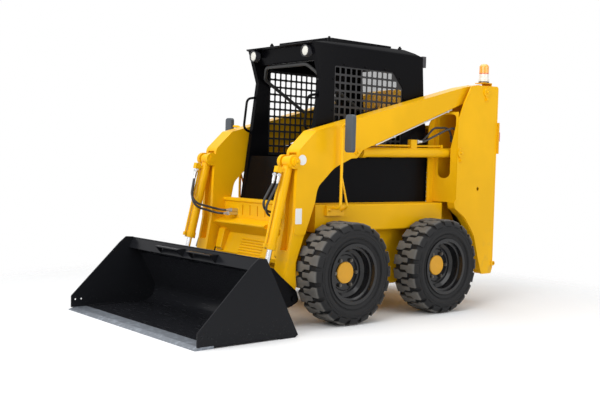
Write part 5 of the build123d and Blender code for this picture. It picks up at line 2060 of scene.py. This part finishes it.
class LOADER_OT_body(bpy.types.Operator):
    """Dresses the towers, the rear door and the walls and roof of the cab"""

    bl_idname = "loader.body"
    bl_label = "Towers and cab"

    def execute(self, context):
        for word, side in SIDES:
            reform("tower_" + word, tower(side), "chassis")
            reform("cab_side_" + word, cab_side(side), "chassis")
            reform("window_mesh_" + word, window_mesh(side), "chassis")
        reform("cab_roof", cab_roof(), "chassis")
        reform("cab_rear", cab_rear(), "chassis")
        reform("rear_door", rear_door(), "rear_door")
        rows = []
        for z, inset in ((REAR_WINDOW_Z - 20, 30), (ROOF_LOW_Z - 55, 14)):
            rows.append((rear_face_y(z) - inset, z))
            rows.append((rear_face_y(z) - inset + 5, z))
        rows[2], rows[3] = rows[3], rows[2]
        half = CAB_X - CAB_POST - 40
        dress("rear_glass", slab(rows, -half, half), "chassis", "mesh_black", "pane_glass")
        return {"FINISHED"}


class LOADER_OT_cab(bpy.types.Operator):
    """Adds the handles, mirrors, lamps, lever boots and restraint bar of the cab"""

    bl_idname = "loader.cab"
    bl_label = "Cab fittings"

    def execute(self, context):
        reform("grab_handles", grab_handles(), "chassis")
        reform("work_lamps", work_lamps(), "chassis")
        for word, side in SIDES:
            reform("mirror_" + word, mirror_assembly(side), "chassis")
            glass = on_side(prism("XZ", mirror_face(GLASS_HALF, 22), -50, -47.5), side)
            dress("mirror_glass_" + word, glass, "chassis", "mirror_shell", "silvered_glass")
            self.lens(word, side)
            self.boot(word, side)
        dress("restraint_bar", restraint_bar(), "chassis", "black_plastic")
        dress("rear_lamp_lens", rear_lamp(10, 39, 43), "chassis", "lamp_housing", "lamp_lens")
        return {"FINISHED"}

    @staticmethod
    def lens(word, side):
        """Domed lens of a front lamp."""
        sketch = bmesh.new()
        x, y, z = lamp_place(side)
        profile = ((40, -2), (40, 3), (30, 7), (16, 9.5), (0, 10))
        lathe(sketch, profile, spot(x, y + 10, z), (0, -1, 0))
        mesh = finished(sketch, "lens")
        settle("lamp_lens_" + word, mesh, "chassis", "lamp_housing", "lamp_lens")

    @staticmethod
    def boot(word, side):
        """Pleated rubber boot of a control lever."""
        sketch = bmesh.new()
        rows = [(52, 0)]
        for index in range(6):
            rows += [(50 - index * 5.5, 6 + index * 13), (40 - index * 5.5, 12 + index * 13)]
        rows.append((0, 84))
        lathe(sketch, rows, spot(side * 250, 330, CAB_FLOOR_Z + CAB_PLATE), (0, 0, 1))
        settle("lever_boot_" + word, finished(sketch, "boot"), "chassis", "black_plastic")


class LOADER_OT_arms(bpy.types.Operator):
    """Dresses the lift arms with their cross member, cylinders, hoses and pipes"""

    bl_idname = "loader.arms"
    bl_label = "Arms and hydraulics"

    def execute(self, context):
        reform("cross_member", cross_member(), "lift_arms")
        reform("arm_hoses", arm_hoses(), "lift_arms")
        for word, side in SIDES:
            reform("lift_arm_" + word, lift_arm(side), "lift_arms")
            for kind in CYLINDERS:
                node = kind + "_barrel_" + word
                reform(node, barrel(kind, side), node)
            name = "lift_hoses_" + word
            dress(name, lift_hoses(side), "lift_barrel_" + word, "hose_rubber", "port_hose")
        return {"FINISHED"}


class LOADER_OT_bucket(bpy.types.Operator):
    """Dresses the bucket with its steps and lip box"""

    bl_idname = "loader.bucket"
    bl_label = "Bucket"

    def execute(self, context):
        reform("bucket_shell", bucket_shell(), "bucket")
        return {"FINISHED"}


class LOADER_OT_seat(bpy.types.Operator):
    """Makes the seat as two crowned cushions with piping on a steel base"""

    bl_idname = "loader.seat"
    bl_label = "Seat"

    def execute(self, context):
        low = SEAT_PAN_Z + FIT
        front = SEAT_FRONT_Y
        base = block((-170, 170), (front + 60, front + 420), (low, low + 70))
        cushion = ((8, 74, 30), (462, 74, 20), (462, 138, 20), (60, 160, 60), (8, 138, 40))
        back = ((412, 140, 30), (488, 130, 30), (560, 590, 40), (528, 602, 40), (480, 590, 40))
        dress("seat_base", base, "chassis", "seat_vinyl", "black_plastic")
        first = self.pad("seat_cushion", cushion, 215)
        self.pad("seat_back", back, 200)
        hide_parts("seat")
        self.piping(front, low)
        return {"FINISHED"}

    @staticmethod
    def pad(name, rows, half):
        """Cushion of a slab behind the seat's front: even mesh, swollen as cloth, smoothed."""
        places = [(SEAT_FRONT_Y + y, SEAT_PAN_Z + FIT + z, radius) for y, z, radius in rows]
        mesh = slab(places, -half, half).mesh
        mesh.transform(TO_METRES)
        holder = put(name, mesh)
        remesh = holder.modifiers.new("remesh", "REMESH")
        remesh.mode = "VOXEL"
        remesh.voxel_size = 0.0075
        even = evaluated(holder)
        holder.modifiers.clear()
        holder.data = even
        rest = [vert.co.copy() for vert in even.vertices]
        cloth = holder.modifiers.new("cloth", "CLOTH")
        cloth.settings.use_pressure = True
        cloth.settings.uniform_pressure_force = 4.0
        cloth.settings.effector_weights.gravity = 0.0
        for number in range(1, 21):
            bpy.context.scene.frame_set(number)
        swollen = evaluated(holder)
        for vert, home in zip(swollen.vertices, rest):
            way = vert.co - home
            vert.co = home + way * min(1.0, SWELL_LIMIT / max(way.length, 1e-6))
        holder.modifiers.clear()
        bpy.context.scene.frame_set(1)
        holder.data = swollen
        smooth = holder.modifiers.new("smooth", "SMOOTH")
        smooth.factor, smooth.iterations = 0.5, 6
        finer = holder.modifiers.new("finer", "SUBSURF")
        finer.levels = finer.render_levels = 1
        made = evaluated(holder)
        bpy.data.objects.remove(holder)
        piece = settle(name, made, "chassis", "seat_vinyl")
        return piece

    @staticmethod
    def piping(front, low):
        """Sewn piping round the cushion and the back."""
        forms = []
        for x in (-214, 214):
            route = ((14, 78), (14, 132), (60, 156), (450, 138))
            points = [(x, front + y, low + z) for y, z in route]
            forms.append(tube(points, 24, 4, 8))
        for x in (-199, 199):
            route = ((414, 170), (478, 570), (520, 600))
            points = [(x, front + y, low + z) for y, z in route]
            forms.append(tube(points, 30, 4, 8))
        dress("seat_piping", heap(forms), "chassis", "seat_vinyl")


class LOADER_OT_bolts(bpy.types.Operator):
    """Bolts the pieces together"""

    bl_idname = "loader.bolts"
    bl_label = "Bolts"

    def execute(self, context):
        scene = context.scene
        tree = bolt_tree()
        size = scene.loader_sizes.bolt
        black, body, arms = [], [], []
        for _, side in SIDES:
            out = (side, 0, 0)
            # Mirror bracket, window frame, then the pins of the towers and of the arms
            for y in (-66, 60):
                body.append(((side * (SILL_X + 26), y, 850), out, 0.9))
            for y, z in window_bolts():
                black.append(((side * CAB_X, y, z), out, 0.6))
            for y, z in (LIFT_BASE_PIN, ARM_PIVOT):
                body.append(((side * (TOWER_OUTER_X + 12), y, z), out, 1.1))
            arms.append(((side * (ARM_OUTER_X + 30), *TILT_BASE_PIN), out, 1.0))
            arms.append(((side * (ARM_OUTER_X + 8), *LIFT_EYE_PIN), out, 1.0))
        # Foot of the cross member, then the door's hinge side
        for x in (-110, 110):
            arms.append(((x, -380, 482), (0, -0.97, 0.24), 1.0))
        for z in (DOOR_Z_LOW + 60, DOOR_Z_HIGH - 60):
            body.append(((DOOR_HINGE_X + 40, TOWER_REAR_Y + 0.5, z), (0, 1, 0), 0.6))
        grown("bolts_cab", tree, black, "chassis", "black_paint", head_radius=size)
        grown("bolts_body", tree, body, "chassis", "yellow_paint", head_radius=size)
        grown("bolts_arms", tree, arms, "lift_arms", "yellow_paint", head_radius=size)
        return {"FINISHED"}


def window_bolts():
    """Places of the bolts round a side window."""
    rows = window_rows(MESH_MARGIN + 16)
    places = []
    for index, (y, z, _) in enumerate(rows):
        after = rows[(index + 1) % len(rows)]
        count = max(1, round(hypot(after[0] - y, after[1] - z) / 240))
        for step in range(count):
            share = (step + 0.5) / count
            places.append((y + (after[0] - y) * share, z + (after[1] - z) * share))
    return places


class LOADER_OT_trim(bpy.types.Operator):
    """Adds the blank plates and the weld beads"""

    bl_idname = "loader.trim"
    bl_label = "Plates and welds"

    def execute(self, context):
        scene = context.scene
        x = (ARM_OUTER_X, ARM_OUTER_X + 0.8)
        plate = slab(rectangle((-429, -369), (757, 872), 6), *x)
        plates = heap((plate, bar_x((-376, 1227), 38, *x)))
        dress("blank_plates", plates, "lift_arms", "yellow_paint", "plain_plate")
        tree = weld_tree()
        top = back_place(BUCKET_TOP_Z - 90)
        heel = back_place(150)
        bucket_x = BUCKET_HALF_WIDTH - 13
        arm_x = ARM_INNER_X - 4
        sill_x, sill_z = TUB_HALF_WIDTH + 4, DECK_Z + 1
        sill = [(sill_x, y, sill_z) for y in (SILL_FRONT_Y, SILL_REAR_Y)]
        cross_z = (CROSS_TOP_Z - 5, CROSS_SHELF_Z + 3)
        for body, slot, rows in (
            ("bucket", "bucket_black", ((bucket_x, *heel), (bucket_x, *top))),
            ("bucket", "bucket_black", ((bucket_x, -1300, 24), (bucket_x, -760, 24))),
            ("lift_arms", "yellow_paint", [(arm_x, CROSS_FRONT_Y, z) for z in cross_z]),
            ("chassis", "yellow_paint", sill),
        ):
            mesh = bpy.data.meshes.new("seam")
            places = [spot(*row) for row in rows]
            places += [Vector((-place.x, place.y, place.z)) for place in places]
            mesh.from_pydata(places, [(0, 1), (2, 3)], [])
            name = "weld_" + body + "_" + str(round(rows[0][2]))
            grow(name, tree, mesh, body, slot, bead_radius=scene.loader_sizes.bead)
        return {"FINISHED"}


# Stage

def area_light(name, place, size, power):
    light = bpy.data.lights.new(name, "AREA")
    light.shape = "RECTANGLE"
    light.size, light.size_y = size
    light.energy = power
    lamp = put(name, light)
    lamp.location = place
    lamp.rotation_mode = "QUATERNION"
    line = Vector(LIGHT_TARGET) - Vector(place)
    lamp.rotation_quaternion = line.to_track_quat("-Z", "Y")


def seen_rays(board):
    """1 for rays from the camera, off mirrors and through glass, and 0 for all other light."""
    seen = board.node("ShaderNodeLightPath", out="Is Camera Ray")
    for word in ("Is Glossy Ray", "Is Transmission Ray"):
        seen = seen.highest(board.node("ShaderNodeLightPath", out=word))
    return seen


class LOADER_OT_stage(bpy.types.Operator):
    """Sets up the floor, the soft lights and the camera"""

    bl_idname = "loader.stage"
    bl_label = "Set the stage"

    def execute(self, context):
        scene = context.scene
        self.floor()
        self.world(scene)
        for row in LIGHTS:
            area_light(*row)
        self.camera(scene, scene.loader_stage)
        scene.view_settings.view_transform = "Standard"
        return {"FINISHED"}

    @staticmethod
    def floor():
        """Pale floor that fades into the background where the camera sees it from afar."""
        mesh = bpy.data.meshes.new("floor")
        edge = (-FLOOR_HALF, FLOOR_HALF)
        mesh.from_pydata(rectangle(edge, edge, 0), [], [(0, 1, 2, 3)])
        floor = put("floor", mesh)
        board = Board("floor_white")
        ground = board.principled(base_color=(0.93, 0.93, 0.93), roughness=0.9)
        clear = board.node("ShaderNodeBsdfTransparent")
        share = seen_rays(board) * board.length(board.place()).above(*FLOOR_FADE)
        mixed = board.node("ShaderNodeMixShader", {}, {0: share, 1: ground, 2: clear})
        board.show(mixed)
        mesh.materials.append(board.material)

    @staticmethod
    def world(scene):
        """Soft light from all sides, in front of a white background."""
        world = bpy.data.worlds.new("studio")
        board = Board("studio", world)
        inputs = {"Color": (0.95, 0.97, 1.0), "Strength": ROOM_STRENGTH}
        room = board.node("ShaderNodeBackground", {}, inputs)
        white = board.node("ShaderNodeBackground", {}, {"Color": (1.0, 1.0, 1.0)})
        mixed = board.node("ShaderNodeMixShader", {}, {0: seen_rays(board), 1: room, 2: white})
        board.show(mixed)
        scene.world = world

    @staticmethod
    def camera(scene, sizes):
        """Camera of the photograph's view, placed by its direction and distance."""
        data = bpy.data.cameras.new("photo_camera")
        data.sensor_width = 36.0
        data.lens = sizes.lens
        data.shift_x = CAMERA_SHIFT
        camera = put("photo_camera", data)
        turn, rise = sizes.azimuth, sizes.elevation
        back = Vector((sin(turn) * cos(rise), -cos(turn) * cos(rise), sin(rise)))
        right = (-back).cross(Vector((0, 0, 1))).normalized()
        up = right.cross(-back)
        tilted = right * cos(sizes.roll) + up * sin(sizes.roll)
        raised = up * cos(sizes.roll) - right * sin(sizes.roll)
        matrix = Matrix((tilted, raised, back)).transposed().to_4x4()
        matrix.translation = Vector(CAMERA_TARGET) + back * sizes.distance
        camera.matrix_world = matrix
        scene.camera = camera


class LoaderColours(bpy.types.PropertyGroup):
    """Colours that a user would change."""

    yellow: FloatVectorProperty(
        name="Body yellow",
        description="Colour of the body, arms and towers",
        subtype="COLOR",
        default=(0.92, 0.49, 0.004),
    )
    black: FloatVectorProperty(
        name="Cab black",
        description="Colour of the cab and guards",
        subtype="COLOR",
        default=(0.003, 0.003, 0.004),
    )


class LoaderSizes(bpy.types.PropertyGroup):
    """Sizes of the small parts that a user would change."""

    bolt: FloatProperty(
        name="Bolt head",
        description="Radius of a bolt's head across its corners",
        default=0.012,
        unit="LENGTH",
    )
    rib: FloatProperty(
        name="Tyre ring",
        description="Radius of the moulded rings on the tyres' sidewalls",
        default=0.0022,
        unit="LENGTH",
    )
    bead: FloatProperty(
        name="Weld bead",
        description="Radius of the weld beads",
        default=0.004,
        unit="LENGTH",
    )


class StageSizes(bpy.types.PropertyGroup):
    """Camera settings."""

    lens: FloatProperty(
        name="Lens",
        description="Focal length on a 36 mm wide sensor",
        default=53.5,
        unit="CAMERA",
    )
    azimuth: FloatProperty(
        name="Azimuth",
        description="Direction of the camera round the machine, 0 is straight ahead of it",
        default=radians(48.7341),
        subtype="ANGLE",
    )
    elevation: FloatProperty(
        name="Elevation",
        description="Height of the camera above the horizon",
        default=radians(2.5516),
        subtype="ANGLE",
    )
    roll: FloatProperty(
        name="Roll",
        description="Turn of the camera about its own axis",
        default=radians(1.6481),
        subtype="ANGLE",
    )
    distance: FloatProperty(
        name="Distance",
        description="From the camera to the point it looks at",
        default=7.2848,
        unit="LENGTH",
    )


class LOADER_PT_panel(bpy.types.Panel):
    """Lists the steps that dress the loader"""

    bl_idname = "LOADER_PT_panel"
    bl_label = "Loader"
    bl_space_type = "VIEW_3D"
    bl_region_type = "UI"
    bl_category = "Loader"

    def draw(self, context):
        layout = self.layout
        scene = context.scene
        for group in (scene.loader_colours, scene.loader_sizes, scene.loader_stage):
            for key in group.__annotations__:
                layout.prop(group, key)
        for step in STEPS:
            layout.operator(step.bl_idname)


GROUPS = {"loader_colours": LoaderColours, "loader_sizes": LoaderSizes, "loader_stage": StageSizes}
STEPS = (
    LOADER_OT_paint,
    LOADER_OT_tyres,
    LOADER_OT_body,
    LOADER_OT_cab,
    LOADER_OT_arms,
    LOADER_OT_bucket,
    LOADER_OT_seat,
    LOADER_OT_bolts,
    LOADER_OT_trim,
    LOADER_OT_stage,
)
CLASSES = (*GROUPS.values(), *STEPS, LOADER_PT_panel)


def register():
    for made in CLASSES:
        bpy.utils.register_class(made)
    for word, group in GROUPS.items():
        setattr(bpy.types.Scene, word, PointerProperty(type=group))


def unregister():
    for word in GROUPS:
        delattr(bpy.types.Scene, word)
    for made in reversed(CLASSES):
        bpy.utils.unregister_class(made)


def main():
    register()
    for step in STEPS:
        word = step.bl_idname.split(".")[1]
        getattr(bpy.ops.loader, word)()


if __name__ == "__main__":
    main()
